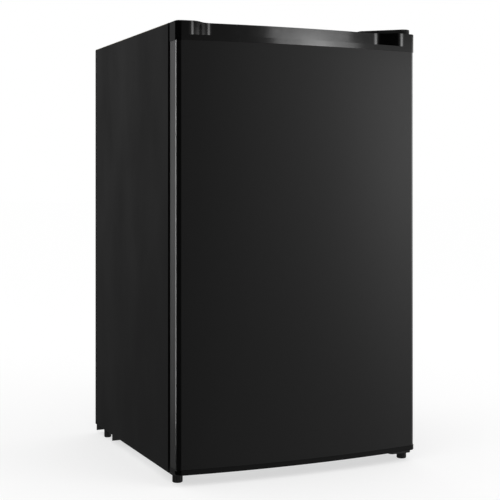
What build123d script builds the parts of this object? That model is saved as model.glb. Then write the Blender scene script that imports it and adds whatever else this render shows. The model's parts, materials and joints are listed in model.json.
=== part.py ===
from build123d import *
import os
from math import asin, atan, cos, degrees, sin, sqrt

# Compact single-door refrigerator with a full-width freezer compartment.
# Millimetres. +Z is up and the door faces -Y. The origin is on the floor, in the middle of the
# footprint. The door hangs on its right-hand side (+X), as seen from the front.

# ---------------------------------------------------------------- overall sizes
width = 496.0  # cabinet, side to side
height = 832.0  # floor to the cabinet's top
cabinet_depth = 458.0  # front flange to rear edge
base_height = 18.0  # floor to the cabinet's lower edge
sheet = 0.8  # painted steel sheet
bend = 3.0  # outer radius of a folded sheet edge

# ---------------------------------------------------------------- door sizes
door_gap = 8.0  # cabinet to door, taken up by the gasket
door_side = 27.0  # straight part of the door's side
door_corner = 9.0  # radius of the two upright front edges
door_bow = 17.0  # how far the middle of the front stands out
cap_proud = 1.0  # how far the end caps stand proud of the steel skin
cap_wall = 2.5
top_cap_height = 35.0
bottom_cap_height = 9.5
door_top_gap = 0.5  # door top below the cabinet top
door_bottom_gap = 3.0  # door bottom above the cabinet's lower edge
door_liner_sheet = 1.5

# ---------------------------------------------------------------- finger grip in the top cap
grip_depth = 26.0  # front face to the grip's back wall
grip_inset = 22.0  # cabinet side to where the grip starts to curve in, on the left
grip_run = 50.0  # length of the left S-shaped end
hinge_grip_inset = 26.0  # the same two sizes on the right, where the hinge pin's boss is
hinge_grip_run = 56.0
grip_lip_height = 10.0  # lip above the cap's lower edge
grip_lip = 4.5  # thickness of the lip
grip_pocket_depth = 16.0  # pocket floor below the lip

# ---------------------------------------------------------------- insulated walls and liner
side_wall = 38.0
top_wall = 40.0
back_wall = 50.0
bottom_wall = 48.0
liner_sheet = 1.5
liner_lip = 4.0  # liner lip that shows beside the steel flange
liner_radius = 14.0

# ---------------------------------------------------------------- compressor bay, at the bottom rear
bay_depth = 170.0
bay_top = 230.0  # floor to the bay's roof
bay_slope = 40.0  # sloping corner between the bay's front and roof
bay_wall = 35.0  # insulation between bay and food compartment

# ---------------------------------------------------------------- hinges and feet
pin_radius = 4.0
pin_play = 0.05  # running clearance of a turning pin, on the radius
hinge_in = 18.0  # cabinet side to the hinge axis
hinge_back = 20.0  # door's rear face to the hinge axis
bush_radius = 6.5
bush_length = 22.0
boss_wall = 2.2
hinge_plate = 2.5
hinge_cover_height = 9.0
hinge_cover_wall = 1.8
bracket = 3.0
foot_in = 17.0  # cabinet side to the left front foot's axis
foot_forward = 4.0  # cabinet front to the left front foot's axis
hinge_foot_in = 12.0  # the same for the right front foot, beside the lower hinge pin
hinge_foot_forward = 14.0
foot_radius = 9.5
foot_height = 14.0
foot_stud_radius = 4.0

# ---------------------------------------------------------------- gasket
gasket_width = 16.0
gasket_in = 20.0  # cabinet side to the gasket's outer edge
gasket_clear = 0.3  # face of the closed gasket to the cabinet
magnet = (9.0, 3.0)  # width and thickness of the magnetic strip

# ---------------------------------------------------------------- fittings inside
freezer_set_back = 140.0  # cabinet front to the freezer box's mouth
freezer_height = 112.0
freezer_side_gap = 6.0
freezer_hang = 6.0  # liner's ceiling to the box
evaporator_wall = 1.5
trim_depth = 8.0
trim_width = 10.0
trim_over = 3.0  # how far the trim stands out round the box
flap_thickness = 10.0
flap_pin_radius = 2.5
flap_clear = 1.0
ear_width = 5.0
tray_rim = 10.0
tray_wall = 2.0
tray_height = 20.0
tray_drop = 5.0  # freezer trim to the drip tray
housing_size = (38.0, 110.0, 66.0)  # thermostat housing
shelf_thickness = 4.0
shelf_set_back = 118.0  # cabinet front to the shelves' front edge
shelf_share = 0.6  # upper shelf's place between the lower shelf and the thermostat housing
shelf_over_step = 20.0
ledge = (6.5, 6.0)  # width and thickness of a shelf ledge
rack_heights = {"lower": 80.0, "middle": 60.0, "upper": 60.0}
rack_over_floor = 26.0
rack_under_flap = 67.0
rack_depth = 84.0
part_clear = 0.4  # air between pieces that move past each other

# ---------------------------------------------------------------- places that follow from the sizes
half_width = width / 2
overall_depth = cabinet_depth + door_gap + door_side + door_corner + door_bow + cap_proud
cabinet_back = overall_depth / 2
cabinet_front = cabinet_back - cabinet_depth
door_back = cabinet_front - door_gap
shell_back = door_back - door_liner_sheet  # rear face of the door's skin and caps
skin_half = half_width - cap_proud
skin_corner_y = door_back - door_side - door_corner
bow_radius = (skin_half**2 + door_bow**2) / (2 * door_bow)
bow_centre_y = skin_corner_y - door_bow + bow_radius
door_bottom = base_height + door_bottom_gap
door_top = height - door_top_gap
skin_bottom = door_bottom + bottom_cap_height
skin_top = door_top - top_cap_height
hinge_x = half_width - hinge_in
hinge_y = door_back - hinge_back

inner_half = half_width - side_wall
inner_back = cabinet_back - back_wall
inner_top = height - top_wall
inner_floor = base_height + bottom_wall
flange_side = side_wall - liner_lip
flange_top = top_wall - liner_lip
rail_height = bottom_wall - liner_lip
bay_front = cabinet_back - bay_depth
freezer_front = cabinet_front + freezer_set_back
freezer_top = inner_top - freezer_hang
freezer_floor = freezer_top - freezer_height
tray_top = freezer_floor - trim_over - tray_drop
tray_bottom = tray_top - tray_height
housing_z = (tray_bottom - 20 - housing_size[2], tray_bottom - 20)
lower_shelf = bay_top + bay_wall + shelf_over_step
upper_shelf = lower_shelf + shelf_share * (housing_z[0] - lower_shelf)
shelf_front = cabinet_front + shelf_set_back
lower_rack = inner_floor + rack_over_floor
upper_rack = freezer_floor - rack_under_flap - rack_heights["upper"]
bracket_bottom = base_height - bracket


# ---------------------------------------------------------------- helpers
def upright(y):
    """The X-Z plane at depth y. A positive extrusion comes to the front, a negative one goes back."""
    return Plane((0, y, 0), x_dir=(1, 0, 0), z_dir=(0, -1, 0))


def sideways(x):
    """The Y-Z plane at x. A positive extrusion goes to +X."""
    return Plane((x, 0, 0), x_dir=(0, 1, 0), z_dir=(1, 0, 0))


def span(low, high):
    """Middle and length of a stretch."""
    return (low + high) / 2, high - low


def block(x, y, z, mode=Mode.ADD):
    """A box given by its stretch along each axis."""
    (cx, dx), (cy, dy), (cz, dz) = span(*x), span(*y), span(*z)
    with Locations((cx, cy, cz)):
        Box(dx, dy, dz, mode=mode)


def panel(x, z, mode=Mode.ADD):
    """A rectangle given by its stretch along the sketch's two axes."""
    (cx, dx), (cz, dz) = span(*x), span(*z)
    with Locations((cx, cz)):
        Rectangle(dx, dz, mode=mode)


def door_plan(inset, back=shell_back):
    """Plan of the door inside its bowed front, `inset` in from the skin's outer face."""
    half = skin_half - inset
    radius = bow_radius - inset
    corner_y = bow_centre_y - sqrt(radius**2 - half**2)
    with BuildSketch() as plan:
        with BuildLine():
            Polyline((-half, corner_y), (-half, back), (half, back), (half, corner_y))
            ThreePointArc((half, corner_y), (0, bow_centre_y - radius), (-half, corner_y))
        make_face()
        fillet(plan.vertices().group_by(Axis.Y)[0], radius=door_corner - inset)
    return plan.sketch


def grip_plan(grow=0.0):
    """Plan of the finger grip: a back wall that follows the bow, with an S-shaped end on each side."""
    cap_radius = bow_radius + cap_proud
    starts = []
    ends = []
    with BuildSketch() as plan:
        with BuildLine():
            for side, inset, run in ((-1, grip_inset, grip_run), (1, hinge_grip_inset, hinge_grip_run)):
                start_x = half_width - inset
                start = (side * start_x, bow_centre_y - sqrt(cap_radius**2 - start_x**2))
                slope = asin(start_x / cap_radius)
                turn = 2 * atan(grip_depth / run)
                arc = run / (2 * sin(turn))
                near = JernArc(start, (-side * cos(slope), -sin(slope)), arc, -side * degrees(turn))
                far = JernArc(near @ 1, near % 1, arc, side * degrees(turn))
                starts.append(start)
                ends.append(far @ 1)
            wall_radius = sqrt(ends[0].X ** 2 + (bow_centre_y - ends[0].Y) ** 2)
            ThreePointArc(ends[0], (0, bow_centre_y - wall_radius), ends[1])
            front = starts[0][1] - 2 * grip_depth
            Polyline(starts[0], (starts[0][0], front), (starts[1][0], front), starts[1])
        make_face()
        if grow:
            offset(amount=grow, kind=Kind.INTERSECTION)
    return plan.sketch


def bay_space(grow):
    """The compressor bay as a solid, grown by `grow` upwards and forwards."""
    with BuildPart() as space:
        with BuildSketch(sideways(-half_width)):
            with BuildLine():
                Polyline(
                    (bay_front, -bay_top),
                    (bay_front, bay_top - bay_slope),
                    (bay_front + bay_slope, bay_top),
                    (cabinet_back + bay_depth, bay_top),
                    (cabinet_back + bay_depth, -bay_top),
                    close=True,
                )
            make_face()
            if grow:
                offset(amount=grow, kind=Kind.INTERSECTION)
        extrude(amount=width)
    return space.part


def food_space(grow):
    """The free space inside the liner as a solid, grown by `grow` into the insulation."""
    with BuildPart() as space:
        block(
            (-inner_half - grow, inner_half + grow),
            (cabinet_front - door_gap, inner_back + grow),
            (inner_floor - grow, inner_top + grow),
        )
        add(bay_space(bay_wall - grow), mode=Mode.SUBTRACT)
        front_face = space.faces().sort_by(Axis.Y)[0]
        step_top = bay_top + bay_wall
        hump = space.faces().filter_by(lambda f: f.center().Z < step_top + 1 and f.center().Y > 0)
        corners = [e for e in space.edges() if e not in front_face.edges()]
        rounded = [e for e in corners if not any(e in f.edges() for f in hump)]
        fillet(rounded, radius=liner_radius + grow)
    return space.part


def round_bar(points, radii, radius):
    """A round tube or wire along straight runs joined by arcs."""
    with BuildPart() as bar:
        with BuildLine() as path:
            FilletPolyline(*points, radius=radii)
        with BuildSketch(Plane(origin=path.line @ 0, z_dir=path.line % 0)):
            Circle(radius)
        sweep(path=path.line)
    return bar.part


# ================================================================ cabinet shell
# One steel sheet folded over the left side, the top and the right side, with a flange all round
# the front that the gasket closes on, and a narrow one at the rear for the back panel.
panel_recess = 2.2  # back panel and its screw heads lie inside the rear edge
rear_flange = 14.0
rear_flange_y = cabinet_back - panel_recess - sheet

with BuildPart() as cabinet_wrap:
    with BuildSketch(upright(cabinet_front)) as wrap_profile:
        panel((-half_width, half_width), (base_height, height))
        fillet(wrap_profile.vertices().group_by(Axis.Y)[-1], radius=bend)
        panel((-half_width + sheet, half_width - sheet), (base_height, height - sheet), mode=Mode.SUBTRACT)
    extrude(amount=-cabinet_depth)
    with BuildSketch(upright(cabinet_front)):
        panel((-half_width + sheet / 2, half_width - sheet / 2), (base_height, height - sheet / 2))
        panel(
            (-half_width + flange_side, half_width - flange_side),
            (base_height, height - flange_top),
            mode=Mode.SUBTRACT,
        )
    extrude(amount=-sheet)
    with BuildSketch(upright(rear_flange_y - sheet)):
        panel((-half_width + sheet / 2, half_width - sheet / 2), (bay_top + sheet, height - sheet / 2))
        panel(
            (-half_width + rear_flange, half_width - rear_flange),
            (bay_top + sheet, height - rear_flange),
            mode=Mode.SUBTRACT,
        )
    extrude(amount=-sheet)

# Rear panel, pressed with four shallow stiffening ribs.
back_panel_side = half_width - sheet - 0.4
rib_height = 1.4
rib_width = 16.0
rib_spacing = 105.0
rib_length = height - bay_top - 4 * rear_flange
with BuildPart() as back_panel:
    block(
        (-back_panel_side, back_panel_side),
        (rear_flange_y, rear_flange_y + sheet),
        (bay_top + sheet, height - sheet - 0.4),
    )
    with BuildSketch(upright(rear_flange_y + sheet)):
        with Locations((0, (bay_top + height) / 2)):
            with GridLocations(rib_spacing, 1, 4, 1):
                SlotOverall(rib_length, rib_width, rotation=90)
    extrude(amount=-rib_height / 2)
    with BuildSketch(upright(rear_flange_y)):
        with Locations((0, (bay_top + height) / 2)):
            with GridLocations(rib_spacing, 1, 4, 1):
                SlotOverall(rib_length - 2 * sheet, rib_width - 2 * sheet, rotation=90)
    extrude(amount=-rib_height / 2, mode=Mode.SUBTRACT)

# Sheet-metal screws that hold the back panel: three up each side, two along the top.
panel_screw_radius = 1.9
panel_screw_head = 3.6
panel_screw_z = [bay_top + 40, (bay_top + height) / 2, height - 60]
panel_screw_x = half_width - rear_flange / 2 - sheet
panel_screw_places = [(side * panel_screw_x, z) for side in (-1, 1) for z in panel_screw_z]
panel_screw_places += [(side * width / 6, height - rear_flange / 2 - sheet) for side in (-1, 1)]
panel_screw_length = 8.0
with BuildPart() as back_panel_screws:
    with BuildSketch(upright(rear_flange_y + sheet)):
        with Locations(*panel_screw_places):
            Circle(panel_screw_head)
    extrude(amount=-(panel_recess - 0.6))
    with BuildSketch(upright(rear_flange_y + sheet)):
        with Locations(*panel_screw_places):
            Circle(panel_screw_radius)
    extrude(amount=panel_screw_length)
for sheet_part in (cabinet_wrap, back_panel):
    with sheet_part:
        with BuildSketch(upright(rear_flange_y + sheet)):
            with Locations(*panel_screw_places):
                Circle(panel_screw_radius)
        extrude(amount=panel_screw_length, mode=Mode.SUBTRACT)

# The sheet under the cabinet, which turns up to line the compressor bay.
with BuildPart() as bottom_shield:
    add(bay_space(sheet))
    add(bay_space(0), mode=Mode.SUBTRACT)
    block(
        (-half_width + sheet, half_width - sheet),
        (bay_front - bay_wall, rear_flange_y + sheet),
        (base_height, bay_top + sheet),
        mode=Mode.INTERSECT,
    )
    block(
        (-half_width + sheet, half_width - sheet),
        (cabinet_front + sheet, bay_front),
        (base_height, base_height + sheet),
    )

# Rail below the door opening. The gasket closes on it.
rail_return = 18.0
rail_side = half_width - flange_side
rail_top = base_height + rail_height
with BuildPart() as front_rail:
    block((-rail_side, rail_side), (cabinet_front, cabinet_front + sheet), (base_height, rail_top))
    block(
        (-rail_side, rail_side),
        (cabinet_front + sheet, cabinet_front + rail_return),
        (base_height + sheet, base_height + 2 * sheet),
    )

# ================================================================ inner liner
shelf_heights = {"lower": lower_shelf, "upper": upper_shelf}  # floor to each shelf's underside
lip_half = half_width - flange_side

with BuildPart() as inner_liner:
    add(food_space(liner_sheet))
    block(
        (-lip_half, lip_half),
        (cabinet_front, cabinet_front + liner_sheet),
        (rail_top, height - flange_top),
    )
    add(food_space(0), mode=Mode.SUBTRACT)
    block(
        (-half_width, half_width),
        (cabinet_front - 2 * door_gap, cabinet_front),
        (0, height),
        mode=Mode.SUBTRACT,
    )
    for shelf_z in shelf_heights.values():
        for side in (-1, 1):
            inner = side * (inner_half - ledge[0])
            block(
                sorted((inner, side * (inner_half + liner_sheet / 2))),
                (shelf_front + 12, inner_back - liner_radius),
                (shelf_z - part_clear - ledge[1], shelf_z - part_clear),
            )

# ================================================================ freezer compartment
freezer_half = inner_half - freezer_side_gap
freezer_back = inner_back - 8.0

# Roll-bonded aluminium box, open at the front.
with BuildPart() as evaporator:
    block((-freezer_half, freezer_half), (freezer_front, freezer_back), (freezer_floor, freezer_top))
    fillet(evaporator.edges().filter_by(Axis.Y), radius=6)
    offset(amount=-evaporator_wall, openings=evaporator.faces().sort_by(Axis.Y)[0])

hanger_radius = 7.0
with BuildPart() as evaporator_hangers:
    with BuildSketch(Plane.XY.offset(freezer_top)):
        with Locations((0, (freezer_front + freezer_back) / 2)):
            with GridLocations(2 * freezer_half - 60, freezer_back - freezer_front - 50, 2, 2):
                Circle(hanger_radius)
    extrude(amount=freezer_hang)

# Plastic frame round the box's mouth, with two ears that carry the flap's pins.
trim_half = freezer_half + trim_over
trim_front = freezer_front - trim_depth
flap_y = trim_front - flap_clear - flap_thickness / 2
flap_z = freezer_floor + flap_thickness / 2 + 1
with BuildPart() as freezer_trim:
    block(
        (-trim_half, trim_half),
        (trim_front, freezer_front),
        (freezer_floor - trim_over, freezer_top + trim_over),
    )
    block(
        (-trim_half + trim_width, trim_half - trim_width),
        (trim_front, freezer_front),
        (freezer_floor - trim_over + trim_width, freezer_top + trim_over - trim_width),
        mode=Mode.SUBTRACT,
    )
    fillet(freezer_trim.edges().filter_by(Axis.Y).group_by(Axis.Z)[-1], radius=liner_radius)
    for side in (-1, 1):
        block(
            sorted((side * trim_half, side * (trim_half - ear_width))),
            (flap_y - flap_thickness / 2, trim_front),
            (freezer_floor - trim_over, flap_z + flap_thickness),
        )
    with BuildSketch(sideways(-trim_half)):
        with Locations((flap_y, flap_z)):
            Circle(flap_pin_radius + pin_play)
    extrude(amount=2 * trim_half, mode=Mode.SUBTRACT)

# Drop-down flap. Its lower edge is rounded about the pins.
flap_half = trim_half - ear_width - part_clear
flap_top = freezer_top - 2.0
flap_grip = (120.0, 8.0, 3.0)  # width, reach and thickness of the finger lip
with BuildPart() as freezer_flap:
    with BuildSketch(sideways(-flap_half)):
        with Locations((flap_y, flap_z)):
            Circle(flap_thickness / 2)
        panel((flap_y - flap_thickness / 2, flap_y + flap_thickness / 2), (flap_z, flap_top))
    extrude(amount=2 * flap_half)
    fillet(freezer_flap.edges().filter_by(Axis.Y).group_by(Axis.Z)[-1], radius=8)
    block(
        (-flap_grip[0] / 2, flap_grip[0] / 2),
        (flap_y - flap_thickness / 2 - flap_grip[1], flap_y),
        (flap_top - 12, flap_top - 12 + flap_grip[2]),
    )
    with BuildSketch(sideways(-trim_half + part_clear)):
        with Locations((flap_y, flap_z)):
            Circle(flap_pin_radius)
    extrude(amount=2 * (trim_half - part_clear))

# Drip tray on two rails below the box.
tray_half = inner_half - 24.0
tray_front = freezer_front - 4.0
tray_back = freezer_back - 10.0
rail_thickness = 5.0
with BuildPart() as drip_tray:
    block((-tray_half, tray_half), (tray_front, tray_back), (tray_bottom, tray_top))
    fillet(drip_tray.edges().filter_by(Axis.Z), radius=10)
    offset(amount=-tray_wall, openings=drip_tray.faces().sort_by(Axis.Z)[-1])
    for side in (-1, 1):
        block(
            sorted((side * (tray_half - tray_wall / 2), side * (tray_half + tray_rim))),
            (tray_front + 10, tray_back - 10),
            (tray_top - tray_wall, tray_top),
        )
with BuildPart() as tray_rails:
    for side in (-1, 1):
        block(
            sorted((side * (tray_half + 2), side * inner_half)),
            (tray_front + 12, tray_back - 12),
            (tray_top - tray_wall - part_clear - rail_thickness, tray_top - tray_wall - part_clear),
        )

# Thermostat housing on the right-hand wall, and its dial.
housing_width = housing_size[0]
housing_y = (freezer_front + 20.0, freezer_front + 20.0 + housing_size[1])
dial_radius = 17.0
dial_thickness = 11.0
dial_spindle = 3.0
dial_y = sum(housing_y) / 2
dial_z = sum(housing_z) / 2
housing_face = inner_half - housing_width
with BuildPart() as thermostat_housing:
    block((housing_face, inner_half), housing_y, housing_z)
    fillet(thermostat_housing.edges().filter_by(Axis.X), radius=9)
    fillet(thermostat_housing.faces().sort_by(Axis.X)[0].edges(), radius=4)
    with BuildSketch(sideways(housing_face)):
        with Locations((dial_y, dial_z)):
            Circle(dial_spindle + pin_play)
    extrude(amount=housing_width / 2, mode=Mode.SUBTRACT)
with BuildPart() as thermostat_dial:
    with BuildSketch(sideways(housing_face - part_clear)):
        with Locations((dial_y, dial_z)):
            Circle(dial_radius)
    extrude(amount=-dial_thickness)
    chamfer(thermostat_dial.faces().sort_by(Axis.X)[0].edges(), length=1.5)
    dial_face = housing_face - part_clear - dial_thickness
    block(
        (dial_face - 5, dial_face + 2),
        (dial_y - 3, dial_y + 3),
        (dial_z - dial_radius + 1.5, dial_z + dial_radius - 1.5),
    )
    with BuildSketch(sideways(housing_face - part_clear)):
        with Locations((dial_y, dial_z)):
            Circle(dial_spindle)
    extrude(amount=housing_width / 2 - 2)

# ================================================================ shelves
shelf_half = inner_half - 2.0
shelf_back = inner_back - 4.0
shelf_edge = (14.0, 12.0)  # depth and height of the front moulding


def make_shelf(bottom):
    """A glass shelf, rounded at the rear like the liner, and its front moulding."""
    with BuildPart() as glass:
        block(
            (-shelf_half, shelf_half),
            (shelf_front + shelf_edge[0] / 2, shelf_back),
            (bottom, bottom + shelf_thickness),
        )
        fillet(glass.edges().filter_by(Axis.Z).group_by(Axis.Y)[-1], radius=liner_radius + 2)
    with BuildPart() as moulding:
        block(
            (-shelf_half, shelf_half),
            (shelf_front, shelf_front + shelf_edge[0]),
            (bottom + shelf_thickness + 2 - shelf_edge[1], bottom + shelf_thickness + 2),
        )
        fillet(moulding.edges().filter_by(Axis.X).group_by(Axis.Y)[0], radius=3)
        for side in (-1, 1):
            block(
                sorted((side * (shelf_half - 2 * ledge[0]), side * shelf_half)),
                (shelf_front + shelf_edge[0] / 2, shelf_front + shelf_edge[0]),
                (bottom - shelf_edge[1], bottom),
                mode=Mode.SUBTRACT,
            )
        add(glass.part, mode=Mode.SUBTRACT)
    return glass, moulding


shelves = {name: make_shelf(bottom) for name, bottom in shelf_heights.items()}

# ================================================================ compressor bay
tray_plate = 1.5
comp_tray_bottom = base_height
tray_skirt_bottom = 5.0  # floor to the lower edge of the tray's turned-down skirts
tray_skirt_gap = 48.0  # tray's front edge to its front skirt
comp_tray_top = comp_tray_bottom + tray_plate
comp_tray_front = bay_front + 2.0
comp_tray_back = cabinet_back - 6.0
comp_tray_flange = 22.0
comp_x = 50.0
comp_y = (bay_front + cabinet_back) / 2
comp_size = (78.0, 58.0)  # half width and half depth of the compressor shell
comp_bottom = 32.0
comp_height = 120.0
comp_top = comp_bottom + comp_height
plate_size = (200.0, 104.0, 3.0)
mount_spacing = (178.0, 78.0)
grommet_radius = 10.0
neck_radius = 6.5
bolt_radius = 3.0
plate_bottom = comp_bottom - plate_size[2]

with BuildPart() as compressor_tray:
    block(
        (-half_width + sheet, half_width - sheet),
        (comp_tray_front, comp_tray_back),
        (comp_tray_bottom, comp_tray_bottom + comp_tray_flange),
    )
    block(
        (-half_width + sheet + tray_plate, half_width - sheet - tray_plate),
        (comp_tray_front, comp_tray_back),
        (comp_tray_top, comp_tray_bottom + comp_tray_flange),
        mode=Mode.SUBTRACT,
    )
    tray_span = (-half_width + sheet, half_width - sheet)
    for y in (comp_tray_front, comp_tray_back - tray_plate):
        block(tray_span, (y, y + tray_plate), (comp_tray_bottom, comp_tray_top + 6))
    for y in (comp_tray_front + tray_skirt_gap, comp_tray_back - tray_plate):
        block(tray_span, (y, y + tray_plate), (tray_skirt_bottom, comp_tray_top))
    with BuildSketch(Plane.XY.offset(comp_tray_bottom)):
        with Locations((comp_x, comp_y)):
            with GridLocations(*mount_spacing, 2, 2):
                Circle(bolt_radius)
    extrude(amount=tray_plate, mode=Mode.SUBTRACT)

with BuildPart() as compressor:
    with BuildSketch(Plane.XY.offset(comp_bottom)):
        with Locations((comp_x, comp_y)):
            Ellipse(*comp_size)
    extrude(amount=comp_height)
    fillet(compressor.edges().group_by(Axis.Z)[-1], radius=26)
    fillet(compressor.edges().group_by(Axis.Z)[0], radius=14)
    with BuildSketch(Plane.XY.offset(comp_bottom + comp_height / 2)):
        with Locations((comp_x, comp_y)):
            Ellipse(comp_size[0] + 3, comp_size[1] + 3)
    extrude(amount=3, both=True)

with BuildPart() as compressor_plate:
    with BuildSketch(Plane.XY.offset(plate_bottom)):
        with Locations((comp_x, comp_y)):
            RectangleRounded(plate_size[0], plate_size[1], 10)
            with GridLocations(*mount_spacing, 2, 2):
                Circle(neck_radius, mode=Mode.SUBTRACT)
    extrude(amount=plate_size[2])

with BuildPart() as compressor_grommets:
    for low, high, radius in (
        (comp_tray_top, plate_bottom, grommet_radius),
        (plate_bottom, comp_bottom, neck_radius),
        (comp_bottom, comp_bottom + 4, grommet_radius - 1.5),
    ):
        with BuildSketch(Plane.XY.offset(low)):
            with Locations((comp_x, comp_y)):
                with GridLocations(*mount_spacing, 2, 2):
                    Circle(radius)
                    Circle(bolt_radius, mode=Mode.SUBTRACT)
        extrude(amount=high - low)

with BuildPart() as compressor_bolts:
    with BuildSketch(Plane.XY.offset(comp_tray_bottom)):
        with Locations((comp_x, comp_y)):
            with GridLocations(*mount_spacing, 2, 2):
                Circle(bolt_radius)
    extrude(amount=comp_bottom + 6 - comp_tray_bottom)
    with BuildSketch(Plane.XY.offset(comp_bottom + 4)):
        with Locations((comp_x, comp_y)):
            with GridLocations(*mount_spacing, 2, 2):
                RegularPolygon(5.5, 6)
    extrude(amount=4)

with BuildPart() as terminal_cover:
    block(
        (comp_x - comp_size[0] - 26, comp_x - comp_size[0] + 14),
        (comp_y - 27, comp_y + 27),
        (comp_bottom + 10, comp_bottom + 58),
    )
    fillet(terminal_cover.edges().filter_by(Axis.X), radius=6)
    fillet(terminal_cover.faces().sort_by(Axis.X)[0].edges(), radius=4)
    add(compressor.part, mode=Mode.SUBTRACT)

# The mains cable is held here. Only the gland is modelled.
gland_x = -half_width + 90.0
with BuildPart() as mains_gland:
    block(
        (gland_x - 12, gland_x + 12),
        (comp_tray_back - tray_plate - 18, comp_tray_back - tray_plate),
        (comp_tray_top, comp_tray_top + 20),
    )
    fillet(mains_gland.edges().filter_by(Axis.Y).group_by(Axis.Z)[-1], radius=5)
    with BuildSketch(upright(comp_tray_back)):
        with Locations((gland_x, comp_tray_top + 12)):
            Circle(3.8)
    extrude(amount=24, mode=Mode.SUBTRACT)

# Pan that catches melt water on top of the warm compressor, and the tube that feeds it.
pan_size = (130.0, 84.0, 20.0)
pan_wall = 2.0
drain_radius = 8.0
drain_y = comp_y + 22.0
with BuildPart() as evaporation_pan:
    with BuildSketch(Plane.XY.offset(comp_top)):
        with Locations((comp_x, comp_y)):
            RectangleRounded(pan_size[0], pan_size[1], 12)
    extrude(amount=pan_size[2])
    offset(amount=-pan_wall, openings=evaporation_pan.faces().sort_by(Axis.Z)[-1])

with BuildPart() as drain_tube:
    with BuildSketch(Plane.XY.offset(comp_top + pan_size[2] - 8)):
        with Locations((comp_x, drain_y)):
            Circle(drain_radius)
            Circle(drain_radius - 1.5, mode=Mode.SUBTRACT)
    extrude(amount=bay_top + bay_wall - liner_sheet - comp_top - pan_size[2] + 8)

pipe_x = comp_x + comp_size[0] - 4
pipe_run = 34.0
with BuildPart() as discharge_pipe:
    add(
        round_bar(
            [
                (pipe_x, comp_y - 20, comp_bottom + 34),
                (pipe_x + pipe_run, comp_y - 20, comp_bottom + 34),
                (pipe_x + pipe_run, comp_y - 20, bay_top),
            ],
            14,
            2.4,
        )
    )
    add(compressor.part, mode=Mode.SUBTRACT)
with BuildPart() as suction_pipe:
    add(
        round_bar(
            [
                (pipe_x, comp_y + 14, comp_bottom + 80),
                (pipe_x + 2 * pipe_run, comp_y + 14, comp_bottom + 80),
                (pipe_x + 2 * pipe_run, comp_y + 14, bay_top),
            ],
            18,
            4.0,
        )
    )
    add(compressor.part, mode=Mode.SUBTRACT)
with BuildPart() as process_pipe:
    add(
        round_bar(
            [
                (pipe_x, comp_y + 30, comp_bottom + 40),
                (pipe_x + pipe_run, comp_y + 30, comp_bottom + 40),
                (pipe_x + pipe_run, comp_y + 62, comp_bottom + 40),
            ],
            12,
            3.2,
        )
    )
    add(compressor.part, mode=Mode.SUBTRACT)

drier_x = comp_x - comp_size[0] - 70.0
drier_radius = 9.5
drier_z = (comp_bottom + 50.0, comp_bottom + 150.0)
with BuildPart() as filter_drier:
    with BuildSketch(Plane.XY.offset(drier_z[0])):
        with Locations((drier_x, comp_y)):
            Circle(drier_radius)
    extrude(amount=drier_z[1] - drier_z[0])
    fillet(filter_drier.edges().filter_by(GeomType.CIRCLE), radius=6)
    with BuildSketch(Plane.XY.offset(drier_z[1] - 1)):
        with Locations((drier_x, comp_y)):
            Circle(2.4)
    extrude(amount=bay_top - drier_z[1] + 1)
with BuildPart() as capillary:
    add(
        round_bar(
            [
                (drier_x, comp_y, drier_z[0] + 1),
                (drier_x, comp_y, drier_z[0] - 24),
                (drier_x - 40, comp_y, drier_z[0] - 24),
                (drier_x - 40, comp_y, bay_top),
            ],
            11,
            1.2,
        )
    )
    add(filter_drier.part, mode=Mode.SUBTRACT)

# Warm tube behind each side wall.
condenser_radius = 2.4
condenser_pitch = 62.0
condenser_z = (bay_top + 40.0, height - 60.0)
condenser_y = cabinet_front + 50.0


with BuildPart() as condenser:
    for side in (-1, 1):
        x = side * (half_width - sheet - part_clear - condenser_radius)
        points = []
        for turn in range(6):
            y = condenser_y + turn * condenser_pitch
            points += [(x, y, condenser_z[turn % 2]), (x, y, condenser_z[1 - turn % 2])]
        add(round_bar(points, 24, condenser_radius))

# ================================================================ door
dike_depth = 22.0
dike_width = 14.0
dike_gap = 12.0  # liner wall to the dike
dike_half = inner_half - dike_gap
dike_z = (inner_floor + dike_gap, inner_top - dike_gap)
bay_half = dike_half - dike_width  # half the width between the dike's upright sides
rack_wall = 2.0
rack_end = 7.0
lug = (4.5, 8.0, 10.0)  # reach, depth and height of a rack lug
lug_y = door_back + 12.0
rack_bottoms = {"lower": lower_rack, "middle": (lower_rack + upper_rack) / 2 + 10, "upper": upper_rack}

# Steel skin: bowed front, rounded upright edges, and a narrow return at the rear.
skin_return = 12.0
with BuildPart() as door_skin:
    with BuildSketch(Plane.XY.offset(skin_bottom)):
        add(door_plan(0))
    extrude(amount=skin_top - skin_bottom)
    with BuildSketch(Plane.XY.offset(skin_bottom)):
        add(door_plan(sheet, back=shell_back - sheet))
    extrude(amount=skin_top - skin_bottom, mode=Mode.SUBTRACT)
    block(
        (-skin_half + skin_return, skin_half - skin_return),
        (shell_back - 2 * sheet, shell_back),
        (skin_bottom, skin_top),
        mode=Mode.SUBTRACT,
    )


def hinge_posts(low, high, radius):
    """Upright round bars on the hinge axis and on its mirror image."""
    with BuildPart() as posts:
        with BuildSketch(Plane.XY.offset(low)):
            with Locations((-hinge_x, hinge_y), (hinge_x, hinge_y)):
                Circle(radius)
        extrude(amount=high - low)
    return posts.part


pocket_floor = skin_top + grip_lip_height - grip_pocket_depth
with BuildPart() as grip_pocket:
    with BuildSketch(Plane.XY.offset(pocket_floor)):
        add(grip_plan())
        add(door_plan(grip_lip - cap_proud), mode=Mode.INTERSECT)
    extrude(amount=grip_pocket_depth + 1)
with BuildPart() as pocket_wall:
    with BuildSketch(Plane.XY.offset(pocket_floor - cap_wall)):
        add(grip_plan(cap_wall))
        add(door_plan(sheet), mode=Mode.INTERSECT)
    extrude(amount=skin_top - pocket_floor + cap_wall)

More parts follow.
